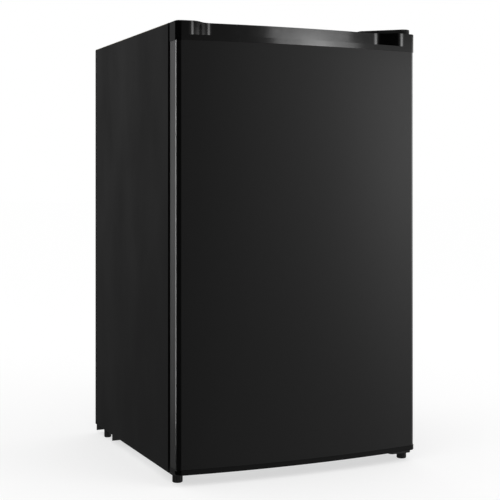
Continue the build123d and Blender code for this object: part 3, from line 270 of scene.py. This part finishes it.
def screw_tree():
    """Sets a cross-head screw on every point, its head along the facing direction."""
    tree, given, result = geometry_tree("cross_head_screws", [
        ("Head Radius", "NodeSocketFloat", 0.004), ("Head Height", "NodeSocketFloat", 0.002),
        ("Shank Radius", "NodeSocketFloat", 0.002), ("Shank Length", "NodeSocketFloat", 0.008),
        ("Facing", "NodeSocketVector", (0, 0, 1)), ("Finish", "NodeSocketMaterial", None)])
    link = tree.links.new

    def fed(node, *values):
        for socket, value in zip(node.inputs, values):
            if isinstance(value, float):
                socket.default_value = value
            else:
                link(value, socket)
        return node.outputs[0]

    def maths(kind, first, second):
        node = tree.nodes.new("ShaderNodeMath")
        node.operation = kind
        return fed(node, first, second)

    def vector(x, y, z):
        return fed(tree.nodes.new("ShaderNodeCombineXYZ"), x, y, z)

    def placed(mesh, spot):
        node = tree.nodes.new("GeometryNodeTransform")
        link(mesh, node.inputs["Geometry"])
        link(spot, node.inputs["Translation"])
        return node.outputs[0]

    radius, tall = given["Head Radius"], given["Head Height"]
    disc = tree.nodes.new("GeometryNodeMeshCylinder")
    disc.inputs["Vertices"].default_value = 28
    disc.inputs["Fill Segments"].default_value = 4
    disc.inputs["Side Segments"].default_value = 2
    link(radius, disc.inputs["Radius"])
    link(tall, disc.inputs["Depth"])
    raised = placed(disc.outputs["Mesh"], vector(0.0, 0.0, maths("MULTIPLY", tall, 0.5)))
    where = tree.nodes.new("GeometryNodeInputPosition")
    split = tree.nodes.new("ShaderNodeSeparateXYZ")
    link(where.outputs[0], split.inputs[0])
    flat = tree.nodes.new("ShaderNodeVectorMath")
    flat.operation = "LENGTH"
    link(vector(split.outputs["X"], split.outputs["Y"], 0.0), flat.inputs[0])
    share = maths("DIVIDE", flat.outputs["Value"], radius)
    sink = maths("MULTIPLY", maths("POWER", share, 3.0), maths("MULTIPLY", split.outputs["Z"], -0.5))
    dome = tree.nodes.new("GeometryNodeSetPosition")
    link(raised, dome.inputs["Geometry"])
    link(vector(0.0, 0.0, sink), dome.inputs["Offset"])
    recess = tree.nodes.new("GeometryNodeJoinGeometry")
    for wide, deep in ((1.0, 0.26), (0.26, 1.0)):
        bar = tree.nodes.new("GeometryNodeMeshCube")
        link(vector(maths("MULTIPLY", radius, wide), maths("MULTIPLY", radius, deep), tall),
             bar.inputs["Size"])
        link(placed(bar.outputs["Mesh"], vector(0.0, 0.0, maths("MULTIPLY", tall, 0.98))),
             recess.inputs[0])
    cut = tree.nodes.new("GeometryNodeMeshBoolean")
    cut.operation = "DIFFERENCE"
    link(dome.outputs[0], cut.inputs["Mesh 1"])
    link(recess.outputs[0], cut.inputs["Mesh 2"])
    shank = tree.nodes.new("GeometryNodeMeshCylinder")
    shank.inputs["Vertices"].default_value = 16
    link(given["Shank Radius"], shank.inputs["Radius"])
    link(given["Shank Length"], shank.inputs["Depth"])
    lowered = placed(shank.outputs["Mesh"],
                     vector(0.0, 0.0, maths("MULTIPLY", given["Shank Length"], -0.499)))
    screw = tree.nodes.new("GeometryNodeJoinGeometry")
    link(cut.outputs["Mesh"], screw.inputs[0])
    link(lowered, screw.inputs[0])
    facing = tree.nodes.new("FunctionNodeAlignRotationToVector")
    facing.axis = "Z"
    link(given["Facing"], facing.inputs["Vector"])
    chance = tree.nodes.new("FunctionNodeRandomValue")
    chance.inputs["Seed"].default_value = 7
    chance.inputs[3].default_value = 1.57
    spin = tree.nodes.new("FunctionNodeAxisAngleToRotation")
    spin.inputs["Axis"].default_value = (0, 0, 1)
    link(chance.outputs[1], spin.inputs["Angle"])
    turned = tree.nodes.new("FunctionNodeRotateRotation")
    turned.rotation_space = "LOCAL"
    link(facing.outputs[0], turned.inputs["Rotation"])
    link(spin.outputs[0], turned.inputs["Rotate By"])
    placed_all = tree.nodes.new("GeometryNodeInstanceOnPoints")
    link(given["Geometry"], placed_all.inputs["Points"])
    link(screw.outputs[0], placed_all.inputs["Instance"])
    link(turned.outputs[0], placed_all.inputs["Rotation"])
    dress(tree, placed_all.outputs[0], given["Finish"], result[0])
    return tree


SCREWS = screw_tree()


# %% Growing a mesh from points, and setting the screws
def grown(tree, carrier_mesh, name, values):
    """Runs a geometry tree on a carrier mesh and gives the plain mesh that comes out."""
    carrier = bpy.data.objects.new(name + "_carrier", carrier_mesh)
    bpy.context.scene.collection.objects.link(carrier)
    modifier = carrier.modifiers.new("grow", "NODES")
    modifier.node_group = tree
    names = {item.name: item.identifier for item in tree.interface.items_tree
             if item.item_type == "SOCKET" and item.in_out == "INPUT"}
    for label, value in values.items():
        modifier[names[label]] = value
    ready = carrier.evaluated_get(bpy.context.evaluated_depsgraph_get())
    mesh = bpy.data.meshes.new_from_object(ready)
    mesh.name = name
    carrier.modifiers.clear()
    bpy.data.objects.remove(carrier)
    return mesh


def set_screws(name, node, facing, head_height, shank_radius):
    """Cross-head screws in the places of a design node's plain ones."""
    axis = Vector(facing)
    along = max(range(3), key=lambda i: abs(axis[i]))
    across = (along + 1) % 3
    seats, boxes = [], lumps(node)
    for low, high in boxes:
        seat = (low + high) / 2
        outer = high[along] if axis[along] > 0 else low[along]
        seat[along] = outer - axis[along] * head_height
        seats.append(seat)
    low, high = boxes[0]
    points = bpy.data.meshes.new(name + "_seats")
    points.from_pydata(seats, [], [])
    mesh = grown(SCREWS, points, name, {
        "Head Radius": (high[across] - low[across]) / 2, "Head Height": head_height,
        "Shank Radius": shank_radius, "Shank Length": high[along] - low[along] - head_height,
        "Facing": tuple(axis), "Finish": FINISHES["screw_steel"]})
    mesh.shade_smooth()
    mesh.set_sharp_from_angle(angle=math.radians(28))
    new_piece(name, mesh, "cabinet", "screw_steel", stands_for=(node,))
    print(name, len(seats), "screws,", len(mesh.polygons), "faces")


set_screws("back_panel_cross_screws", "back_panel_screws", (0, 1, 0), 0.0014, 0.0019)
set_screws("top_hinge_cross_screws", "top_hinge_screws", (0, 0, 1), 0.0024, 0.0024)
set_screws("bracket_cross_screws", "bracket_screws", (0, 0, -1), 0.0020, 0.0024)

# %% [markdown]
# ## Door gasket
# The seal is an extruded rubber profile: a foot that is pressed into the door, a folded bellows and
# a flat pocket for the magnet. A thin lip of the black rubber lies outwards over the whole white
# border of the liner, a little past it, and hooks round its edge: a dark sheet laid there as painted
# shade, so the gap round a closed door looks black. Four lengths of the profile are welded at mitred
# corners. Sweeping it with a modifier would round those corners, so each point of the profile is set
# at all four corners instead, and faces join one corner to the next. The mitre then comes by itself.

# %% The profile, as shares of the seal's breadth and depth
low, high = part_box("door_gasket")
front_face = low.y
breadth = 16 * MM
depth = high.y - low.y
# The first four points are the lip: a dark sheet over the liner's white border that stands in for the
# shade in the gap round the closed door.
PROFILE = [
    (-1.01, -0.185), (-1.08, -0.185), (-1.08, 0.04), (-1.04, 0.09), (-0.08, 0.09), (0.06, 0.11),
    (0.12, 0.17), (0.12, 0.25), (0.03, 0.36), (0.00, 0.48), (0.04, 0.58), (0.02, 0.72), (0.00, 0.82),
    (0.03, 0.93), (0.09, 1.00), (0.40, 0.985), (0.60, 0.985), (0.91, 1.00), (0.97, 0.93), (1.00, 0.82),
    (0.98, 0.72), (0.96, 0.58), (1.00, 0.48), (0.97, 0.36), (0.88, 0.25), (0.82, 0.14), (0.90, 0.06),
    (1.00, 0.07), (1.00, 0.00), (-1.01, 0.00),
]
print("gasket depth in mm:", round(depth / MM, 2), "with", len(PROFILE), "profile points")

# %% The four mitred lengths
border_low, border_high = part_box("door_liner")


def across_seal(edge, border, inward):
    """A place across the seal: inwards in breadths, or outwards as a share of the way to the border."""
    if inward < 0:
        return edge - inward * (border - edge)
    return edge - math.copysign(inward * breadth, border - edge)


seal = bmesh.new()
rings = []
for right, up in ((-1, -1), (1, -1), (1, 1), (-1, 1)):
    ring = []
    for inward, out in PROFILE:
        x = across_seal(*((high.x, border_high.x) if right > 0 else (low.x, border_low.x)), inward)
        z = across_seal(*((high.z, border_high.z) if up > 0 else (low.z, border_low.z)), inward)
        ring.append(seal.verts.new((x, front_face + out * depth, z)))
    rings.append(ring)
for ring, following in zip(rings, rings[1:] + rings[:1]):
    for i, corner in enumerate(ring):
        j = (i + 1) % len(ring)
        seal.faces.new((corner, ring[j], following[j], following[i]))
new_piece("folded_gasket", mesh_from(seal, "folded_gasket", 50), "door", "gasket_rubber",
          stands_for=("door_gasket",))
print("gasket corners:", len(rings))

# %% [markdown]
# ## Channels of the freezer box
# The freezer box is two aluminium sheets rolled together, with a channel blown up between them for
# the refrigerant. The channel shows as a smooth ridge that winds over the floor, the sides and the
# top. It follows a path, so a node tree rounds the path's corners and sweeps a round section along
# it, with most of that section sunk in the sheet.

# %% A node tree that raises a channel along a path
def channel_tree():
    """Turns a path of edges into a ridge: rounded corners, round section, one finish."""
    tree, given, result = geometry_tree("raised_channel", [
        ("Bend Radius", "NodeSocketFloat", 0.01), ("Channel Radius", "NodeSocketFloat", 0.002),
        ("Finish", "NodeSocketMaterial", None)])
    link = tree.links.new
    path = tree.nodes.new("GeometryNodeMeshToCurve")
    link(given["Geometry"], path.inputs["Mesh"])
    bend = tree.nodes.new("GeometryNodeFilletCurve")
    bend.mode = "POLY"
    bend.inputs["Count"].default_value = 6
    link(path.outputs[0], bend.inputs["Curve"])
    link(given["Bend Radius"], bend.inputs["Radius"])
    section = tree.nodes.new("GeometryNodeCurvePrimitiveCircle")
    section.inputs["Resolution"].default_value = 10
    link(given["Channel Radius"], section.inputs["Radius"])
    swept = tree.nodes.new("GeometryNodeCurveToMesh")
    swept.inputs["Fill Caps"].default_value = True
    link(bend.outputs[0], swept.inputs["Curve"])
    link(section.outputs["Curve"], swept.inputs["Profile Curve"])
    dress(tree, swept.outputs[0], given["Finish"], result[0])
    return tree


CHANNELS = channel_tree()
print("channel tree:", len(CHANNELS.nodes), "nodes")


# %% A path that winds to and fro
def winding(start, along, across, rows):
    """Corner points of a path that runs to and fro: `along` each row, then a step `across`."""
    points, place = [Vector(start)], Vector(start)
    for row in range(rows):
        place = place + Vector(along) * (1 if row % 2 == 0 else -1)
        points.append(place.copy())
        if row < rows - 1:
            place = place + Vector(across)
            points.append(place.copy())
    return points


CHANNEL = 2.2 * MM
SHEET = 1.5 * MM
SUNK = 1.2 * MM
MARGIN = 30 * MM
low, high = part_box("evaporator")
inside_left, inside_right = low.x + SHEET - SUNK, high.x - SHEET + SUNK
inside_floor, inside_top = low.z + SHEET - SUNK, high.z - SHEET + SUNK
length = high.y - low.y - 50 * MM
front_row = low.y + 22 * MM
across_box = (high.x - low.x - 2 * MARGIN, 0, 0)
paths = [
    winding((low.x + MARGIN, front_row, inside_floor), across_box, (0, length / 5, 0), 6),
    winding((low.x + MARGIN, front_row + 12 * MM, inside_top), across_box, (0, length / 4, 0), 5),
    winding((inside_left, front_row, low.z + 20 * MM), (0, length, 0), (0, 0, 24 * MM), 4),
    winding((inside_right, front_row, low.z + 20 * MM), (0, length, 0), (0, 0, 24 * MM), 4),
]
print("windings:", len(paths), "with", sum(len(path) for path in paths), "corners")

# %% Raise the channels
corners, edges = [], []
for path in paths:
    first = len(corners)
    corners += [tuple(p) for p in path]
    edges += [(first + i, first + i + 1) for i in range(len(path) - 1)]
route = bpy.data.meshes.new("channel_route")
route.from_pydata(corners, edges, [])
ridge = grown(CHANNELS, route, "evaporator_channels", {
    "Bend Radius": 9 * MM, "Channel Radius": CHANNEL, "Finish": FINISHES["evaporator_aluminium"]})
ridge.shade_smooth()
new_piece("evaporator_channels", ridge, "cabinet", "evaporator_aluminium")
print("channels:", len(ridge.polygons), "faces")

# %% [markdown]
# ## Numbers on the dial
# The thermostat turns from 0, off, to 7, coldest. The numbers are printed in dark grey round the
# dial's face and turn with it, and a small raised mark on the housing shows the setting. Text is
# made a mesh first and only then laid on the dial, which looks towards -X.

# %% Lay numbers on the dial
low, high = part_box("thermostat_dial")
hub = Vector((0, (low.y + high.y) / 2, (low.z + high.z) / 2))
GRIP_REACH = 5 * MM  # how far the dial's grip bar stands in front of its face
NUMBER_RING = 11.6 * MM
face_x = low.x + GRIP_REACH
FINISHES["dial_print"] = finish("dial_print", (0.05, 0.055, 0.06), 0.5, bump=0.0)
OUT_OF_DIAL = Matrix(((0, 0, -1), (-1, 0, 0), (0, 1, 0))).to_4x4()
numbers = bmesh.new()
for setting, turn in enumerate((32, 68, 104, 140, 220, 256, 292, 328)):
    text = bpy.data.curves.new("number", "FONT")
    text.body = str(setting)
    text.size = 5.4 * MM
    text.extrude = 0.12 * MM
    text.align_x, text.align_y = "CENTER", "CENTER"
    writing = bpy.data.objects.new("number", text)
    bpy.context.scene.collection.objects.link(writing)
    ready = writing.evaluated_get(bpy.context.evaluated_depsgraph_get())
    flat = bpy.data.meshes.new_from_object(ready)
    angle = math.radians(turn)
    spot = Vector((face_x - 0.05 * MM, hub.y - NUMBER_RING * math.sin(angle),
                   hub.z + NUMBER_RING * math.cos(angle)))
    flat.transform(Matrix.Translation(spot) @ Matrix.Rotation(angle, 4, "X") @ OUT_OF_DIAL)
    numbers.from_mesh(flat)
    bpy.data.objects.remove(writing)
bmesh.ops.remove_doubles(numbers, verts=numbers.verts, dist=0.00001)
new_piece("dial_numbers", mesh_from(numbers, "dial_numbers"), "dial", "white_plastic", worn="dial_print")
print("dial numbers at x in mm:", round(face_x / MM, 1))

# %% The mark on the housing
MARK_RISE = 22.5 * MM
low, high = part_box("thermostat_housing")
mark = bmesh.new()
bmesh.ops.create_cone(mark, cap_ends=True, segments=3, radius1=3.0 * MM, radius2=2.4 * MM, depth=0.6 * MM,
                      matrix=Matrix.Translation((low.x + 0.1 * MM, hub.y, hub.z + MARK_RISE))
                      @ Matrix.Rotation(math.radians(-90), 4, "Y"))
new_piece("setting_mark", mesh_from(mark, "setting_mark"), "cabinet", "white_plastic", worn="dial_print")
print("setting mark above the dial's axis in mm:", round(MARK_RISE / MM, 1))

# %% [markdown]
# ## Compressor shell
# The compressor is a motor and pump sealed in a shell of two deep-drawn cups, welded round the
# middle and painted thick gloss black. A lathe shape won't do, because the shell is oval, so rings
# of one superellipse are stacked from the bottom to the top. They swell slightly at the middle,
# where the cups overlap and the weld bead stands out.

# %% Stack the rings of the shell
low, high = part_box("compressor")
centre = (low + high) / 2
BEAD = 3 * MM  # how far the weld stands out
BEAD_HALF = 0.05  # its half height, as a share of the shell's
ROUNDNESS = 5  # a larger exponent makes the cups squarer
half_x, half_y, half_z = (high.x - low.x) / 2 - BEAD, (high.y - low.y) / 2 - BEAD, (high.z - low.z) / 2
around, shell, rings = 72, bmesh.new(), []
heights = [math.sin(math.radians(a)) for a in range(-90, 91, 5)]
heights = sorted(heights + [-0.05, -0.035, -0.02, 0.02, 0.035, 0.05])
for t in heights[1:-1]:
    swell = (1 - abs(t) ** ROUNDNESS) ** (1 / ROUNDNESS)
    bead = BEAD * math.sqrt(max(0, 1 - (t / BEAD_HALF) ** 2))
    lap = 0.6 * MM if -0.3 < t < -0.04 else 0
    ring = []
    for i in range(around):
        turn = 2 * math.pi * i / around
        ring.append(shell.verts.new((centre.x + (half_x * swell + bead + lap) * math.cos(turn),
                                     centre.y + (half_y * swell + bead + lap) * math.sin(turn),
                                     centre.z + half_z * t)))
    rings.append(ring)
for ring, above in zip(rings, rings[1:]):
    for i in range(around):
        j = (i + 1) % around
        shell.faces.new((ring[i], ring[j], above[j], above[i]))
shell.faces.new(rings[0])
shell.faces.new(rings[-1])
new_piece("compressor_shell", mesh_from(shell, "compressor_shell", 40), "cabinet", "compressor_black",
          stands_for=("compressor",))
print("compressor shell:", len(rings), "rings of", around)

# %% A blank rating plate on the shell
FLATS = 12
STAND_OFF = 0.3 * MM
plate = bmesh.new()
grid = []
for row in range(2):
    line = []
    for i in range(FLATS + 1):
        turn = math.radians(52 + 5 * i)
        line.append(plate.verts.new((centre.x + (half_x * 0.9995 + STAND_OFF) * math.cos(turn),
                                     centre.y + (half_y * 0.9995 + STAND_OFF) * math.sin(turn),
                                     centre.z + (12 + 24 * row) * MM)))
    grid.append(line)
for i in range(FLATS):
    plate.faces.new((grid[0][i], grid[0][i + 1], grid[1][i + 1], grid[1][i]))
bmesh.ops.recalc_face_normals(plate, faces=plate.faces)
bmesh.ops.solidify(plate, geom=plate.faces[:], thickness=0.5 * MM)
FINISHES["plate_foil"] = finish("plate_foil", (0.62, 0.63, 0.64), 0.35, metallic=0.6, spread=0.03,
                                scale=(30, 30, 30))
new_piece("blank_plate", mesh_from(plate, "blank_plate", 40), "cabinet", "white_plastic",
          worn="plate_foil")
print("rating plate: blank, in", FLATS, "flats")

# %% [markdown]
# ## Freezer flap
# The flap is moulded in a clear, frosted plastic. A raised border and upright flutes stiffen its
# front. The border is a rounded bar swept round a rectangle and the flutes are the same bar on
# straight runs, so the channel tree from the freezer box makes both.

# %% Border and flutes of the flap
low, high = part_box("freezer_flap")
flap_face = low.y + 8 * MM
flap_path_y = flap_face + 0.5 * MM
left, right = low.x + 16 * MM, high.x - 16 * MM
foot, head = low.z + 14 * MM, high.z - 9 * MM
corners = [(left, foot), (right, foot), (right, head), (left, head)]
corners = [(x, flap_path_y, z) for x, z in corners]
edges = [(0, 1), (1, 2), (2, 3), (3, 0)]
spaces = 18
for i in range(1, spaces):
    x = left + (right - left) * i / spaces
    first = len(corners)
    top = head - (26 * MM if abs(x) < 70 * MM else 8 * MM)  # shorter under the finger lip
    corners += [(x, flap_path_y, foot + 8 * MM), (x, flap_path_y, top)]
    edges.append((first, first + 1))
route = bpy.data.meshes.new("flap_route")
route.from_pydata(corners, edges, [])
relief = grown(CHANNELS, route, "flap_relief", {
    "Bend Radius": 6 * MM, "Channel Radius": 1.3 * MM, "Finish": FINISHES["clear_plastic"]})
relief.shade_smooth()
new_piece("flap_relief", relief, "freezer_door", "clear_plastic")
print("flap relief:", spaces - 1, "flutes")

# %% [markdown]
# ## Lines on the door racks
# Clear racks are moulded with a thick rolled rim, which keeps the long front wall straight, and two
# fine lines low on that wall. They follow the wall between its rounded corners and are made by the
# channel tree too. Each set rides its own rack, so it lifts off the door with it.

# %% Rim and lines of each rack
for rack in ("lower", "middle", "upper"):
    low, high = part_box("door_rack_" + rack)
    corners, edges = [], []
    for height in (high.z - 2.0 * MM, low.z + 16 * MM, low.z + 22 * MM):
        edges.append((len(corners), len(corners) + 1))
        corners += [(x, high.y - 0.5 * MM, height) for x in (low.x + 16 * MM, high.x - 16 * MM)]
    route = bpy.data.meshes.new("rack_route")
    route.from_pydata(corners, edges, [])
    lines = grown(CHANNELS, route, "rack_lines_" + rack, {
        "Bend Radius": 1 * MM, "Channel Radius": 1.3 * MM, "Finish": FINISHES["rack_plastic"]})
    lines.shade_smooth()
    new_piece("rack_lines_" + rack, lines, rack + "_rack", "rack_plastic")
print("racks with a rim and two lines each: 3")

# %% [markdown]
# ## Studio
# Glossy black is the hardest finish to light: it shows the room and not itself. A real studio hangs
# black cloth and soft boxes round such a product, and their places decide everything. Here the
# surround plays that room. The camera and matt surfaces see an even white sky, while gloss sees
# bands of soft boxes whose strength depends only on bearing and height. The front left is nearly
# black, and a wide soft box stands at the front right. A few small boxes are real lamps that reach
# one piece each, as a flag or a snoot would make them do: two for the recess in the door's top, and
# one behind the left shoulder, which draws a thin line down the door's rounded edge.

# %% The soft boxes as bearings
# Bearing in degrees from the door's own direction, positive to its right, with the strength there
# just above eye level and well below it. The upper row is what hangs higher than the door's top.
EYE_ROW = [
    (-180, 0.20, 0.10), (-172, 0.16, 0.08), (-160, 0.18, 0.09), (-153, 0.14, 0.07),
    (-147, 0.02, 0.01), (-134, 0.006, 0.006), (2, 0.006, 0.006), (6, 0.17, 0.15),
    (14, 0.23, 0.17), (21, 0.32, 0.185), (25, 0.37, 0.19), (30, 0.46, 0.20), (36, 0.63, 0.21),
    (42, 0.84, 0.23), (54, 1.14, 0.24), (74, 2.40, 0.28), (110, 2.20, 0.30), (140, 0.60, 0.25),
    (180, 0.20, 0.10),
]
UPPER_ROW = [
    (-180, 0.20), (-172, 0.16), (-160, 0.18), (-153, 0.14), (-147, 0.02), (-134, 0.006), (2, 0.006),
    (6, 0.14), (14, 0.19), (20, 0.30), (34, 0.42), (41, 0.38), (50, 0.03), (165, 0.03), (180, 0.20),
]
print("bearings along the eye row:", len(EYE_ROW), "and the upper row:", len(UPPER_ROW))

# %% An empty surround, and helpers to fill it
world = bpy.data.worlds.new("studio")
bpy.context.scene.world = world
world.use_nodes = True
world.cycles.sampling_method = "NONE"
surround = world.node_tree
surround.nodes.clear()


def worked_out(kind, *values):
    """A maths node in the surround, fed with sockets or numbers."""
    node = surround.nodes.new("ShaderNodeMath")
    node.operation = kind
    for socket, value in zip(node.inputs, values):
        if isinstance(value, (int, float)):
            socket.default_value = value
        else:
            surround.links.new(value, socket)
    return node.outputs[0]


def ramp_of(fraction, rows, column):
    """A strength over the bearings: a ramp of grey, which stays below one, times its peak."""
    peak = max(row[column] for row in rows)
    ramp = surround.nodes.new("ShaderNodeValToRGB")
    ramp.color_ramp.interpolation = "LINEAR"
    stops = ramp.color_ramp.elements
    while len(stops) < len(rows):
        stops.new(0.5)
    for stop, row in zip(stops, rows):
        stop.position = (row[0] + 180) / 360
        stop.color = (row[column] / peak,) * 3 + (1,)
    surround.links.new(fraction, ramp.inputs["Fac"])
    return worked_out("MULTIPLY", ramp.outputs["Color"], peak)


def between(height, start, end):
    """Nought below the first angle above level, one past the second, smooth between them."""
    lift = surround.nodes.new("ShaderNodeMapRange")
    lift.interpolation_type = "SMOOTHSTEP"
    lift.inputs["From Min"].default_value = math.sin(math.radians(start))
    lift.inputs["From Max"].default_value = math.sin(math.radians(end))
    surround.links.new(height, lift.inputs["Value"])
    return lift.outputs["Result"]


def mixed(share, first, second):
    """The first value where the share is nought and the second where it is one."""
    return worked_out("ADD", worked_out("MULTIPLY", first, worked_out("SUBTRACT", 1.0, share)),
                      worked_out("MULTIPLY", second, share))


print("surround:", world.name)

# %% Strength over bearing and height
heading = surround.nodes.new("ShaderNodeTexCoord")
split = surround.nodes.new("ShaderNodeSeparateXYZ")
surround.links.new(heading.outputs["Generated"], split.inputs[0])
bearing = worked_out("ARCTAN2", split.outputs["X"], worked_out("MULTIPLY", split.outputs["Y"], -1.0))
fraction = worked_out("ADD", worked_out("DIVIDE", bearing, 2 * math.pi), 0.5)
height_seen = split.outputs["Z"]
OVERHEAD, UNDERFOOT = 0.45, 0.16
strength = mixed(between(height_seen, -14, 7), ramp_of(fraction, EYE_ROW, 2),
                 ramp_of(fraction, EYE_ROW, 1))
strength = mixed(between(height_seen, 6.7, 7.4), strength, ramp_of(fraction, UPPER_ROW, 1))
strength = mixed(between(height_seen, 24, 42), strength, OVERHEAD)
strength = mixed(between(height_seen, -27, -18), UNDERFOOT, strength)
print("strength takes", len(surround.nodes), "nodes")


# %% One surround for the camera, others for matt surfaces and for gloss
def field(strength):
    """An even background, or one whose strength comes from a socket."""
    node = surround.nodes.new("ShaderNodeBackground")
    node.inputs["Color"].default_value = (1, 1, 1, 1)
    if isinstance(strength, float):
        node.inputs["Strength"].default_value = strength
    else:
        surround.links.new(strength, node.inputs["Strength"])
    return node.outputs[0]


def choose(ray, otherwise, chosen):
    """One background for one kind of ray and another for the rest."""
    node = surround.nodes.new("ShaderNodeMixShader")
    surround.links.new(ray_kind.outputs[ray], node.inputs[0])
    surround.links.new(otherwise, node.inputs[1])
    surround.links.new(chosen, node.inputs[2])
    return node.outputs[0]


ray_kind = surround.nodes.new("ShaderNodeLightPath")
seen = choose("Is Glossy Ray", choose("Is Diffuse Ray", field(1.0), field(0.75)), field(strength))
world_out = surround.nodes.new("ShaderNodeOutputWorld")
surround.links.new(seen, world_out.inputs[0])
print("surround nodes:", len(surround.nodes))

# %% Floor
floor_mesh = bpy.data.meshes.new("floor")
reach = 30.0
floor_mesh.from_pydata(
    [(-reach, -reach, 0), (reach, -reach, 0), (reach, reach, 0), (-reach, reach, 0)], [], [(0, 1, 2, 3)])
floor = bpy.data.objects.new("floor", floor_mesh)
bpy.context.scene.collection.objects.link(floor)
floor.data.materials.append(finish("floor_paper", (0.5, 0.5, 0.5), 0.9, spread=0.005, bump=0.0,
                                   Specular_IOR_Level=0.0, Emission_Color=(1, 1, 1, 1),
                                   Emission_Strength=0.62))
floor.visible_glossy = False


# %% Lamps for matt surfaces
def soft_lamp(name, bearing, rise, distance, size, radiance, target=(0, 0, 0.42)):
    """A large rectangular lamp that lights matt surfaces only. Bearing is from the door's own
    direction towards its right, in degrees; rise is above level."""
    lamp = bpy.data.lights.new(name, "AREA")
    lamp.shape = "RECTANGLE"
    lamp.size, lamp.size_y = size
    lamp.energy = radiance * size[0] * size[1] * math.pi
    holder = bpy.data.objects.new(name, lamp)
    turn, tilt = math.radians(bearing), math.radians(rise)
    away = Vector((math.sin(turn) * math.cos(tilt), -math.cos(turn) * math.cos(tilt), math.sin(tilt)))
    holder.location = Vector(target) + away * distance
    holder.rotation_euler = (-away).to_track_quat("-Z", "Y").to_euler()
    holder.visible_glossy = False
    bpy.context.scene.collection.objects.link(holder)
    return holder


soft_lamp("lamp_key", 35, 40, 3.0, (1.2, 1.2), 1.6)
soft_lamp("lamp_fill", -60, 25, 3.4, (1.4, 1.4), 0.5)


# %% Boxes that reach one piece, and a lamp for the inside
def box_for(lamp, *nodes):
    """Lets a lamp reach only some nodes, and show as a reflection in them."""
    reached = bpy.data.collections.new(lamp.name + "_reach")
    for node in nodes:
        reached.objects.link(NODES[node])
    lamp.light_linking.receiver_collection = reached
    lamp.visible_glossy = True
    return lamp


box_for(soft_lamp("strip_left", -132, 6, 3.0, (0.45, 2.6), 8.0), "door_skin")
box_for(soft_lamp("side_left", -160, 6, 3.0, (0.70, 2.6), 0.06), "door_skin")
box_for(soft_lamp("box_recess", 27, 8, 3.0, (0.30, 0.6), 5.4), "door_top_cap")
box_for(soft_lamp("box_recess_wide", 27, 9, 3.2, (0.90, 0.7), 3.3), "door_top_cap")
inside = soft_lamp("lamp_inside", 8, 14, 2.6, (1.2, 1.2), 3.0)
white_slots = ("liner_white", "door_liner_white", "white_plastic", "rack_plastic", "clear_plastic",
               "evaporator_aluminium", "shelf_glass")
box_for(inside, *[node for node in NODES if slot_of[node] in white_slots])
inside.visible_glossy = False

# %% [markdown]
# ## Camera
# A level view camera with its lens panel dropped keeps the upright edges parallel, which is how
# appliances are usually shown. It stands 24 degrees to the left of square-on.

# %% Camera
VIEW_TURN = math.radians(24.22)
camera_data = bpy.data.cameras.new("camera")
camera = bpy.data.objects.new("camera", camera_data)
bpy.context.scene.collection.objects.link(camera)
camera_data.sensor_width = 36.0
camera_data.lens = 81.8
camera_data.shift_y = -0.1344
door_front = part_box("cabinet_wrap")[0].y
camera.location = (-0.956, door_front - 1.936, 0.542)
camera.rotation_euler = (math.radians(90), 0, -VIEW_TURN)
bpy.context.scene.camera = camera
bpy.context.scene.view_settings.view_transform = "Standard"
print("camera stands", round((camera.location - Vector((0, 0, 0.42))).length, 2), "m away")
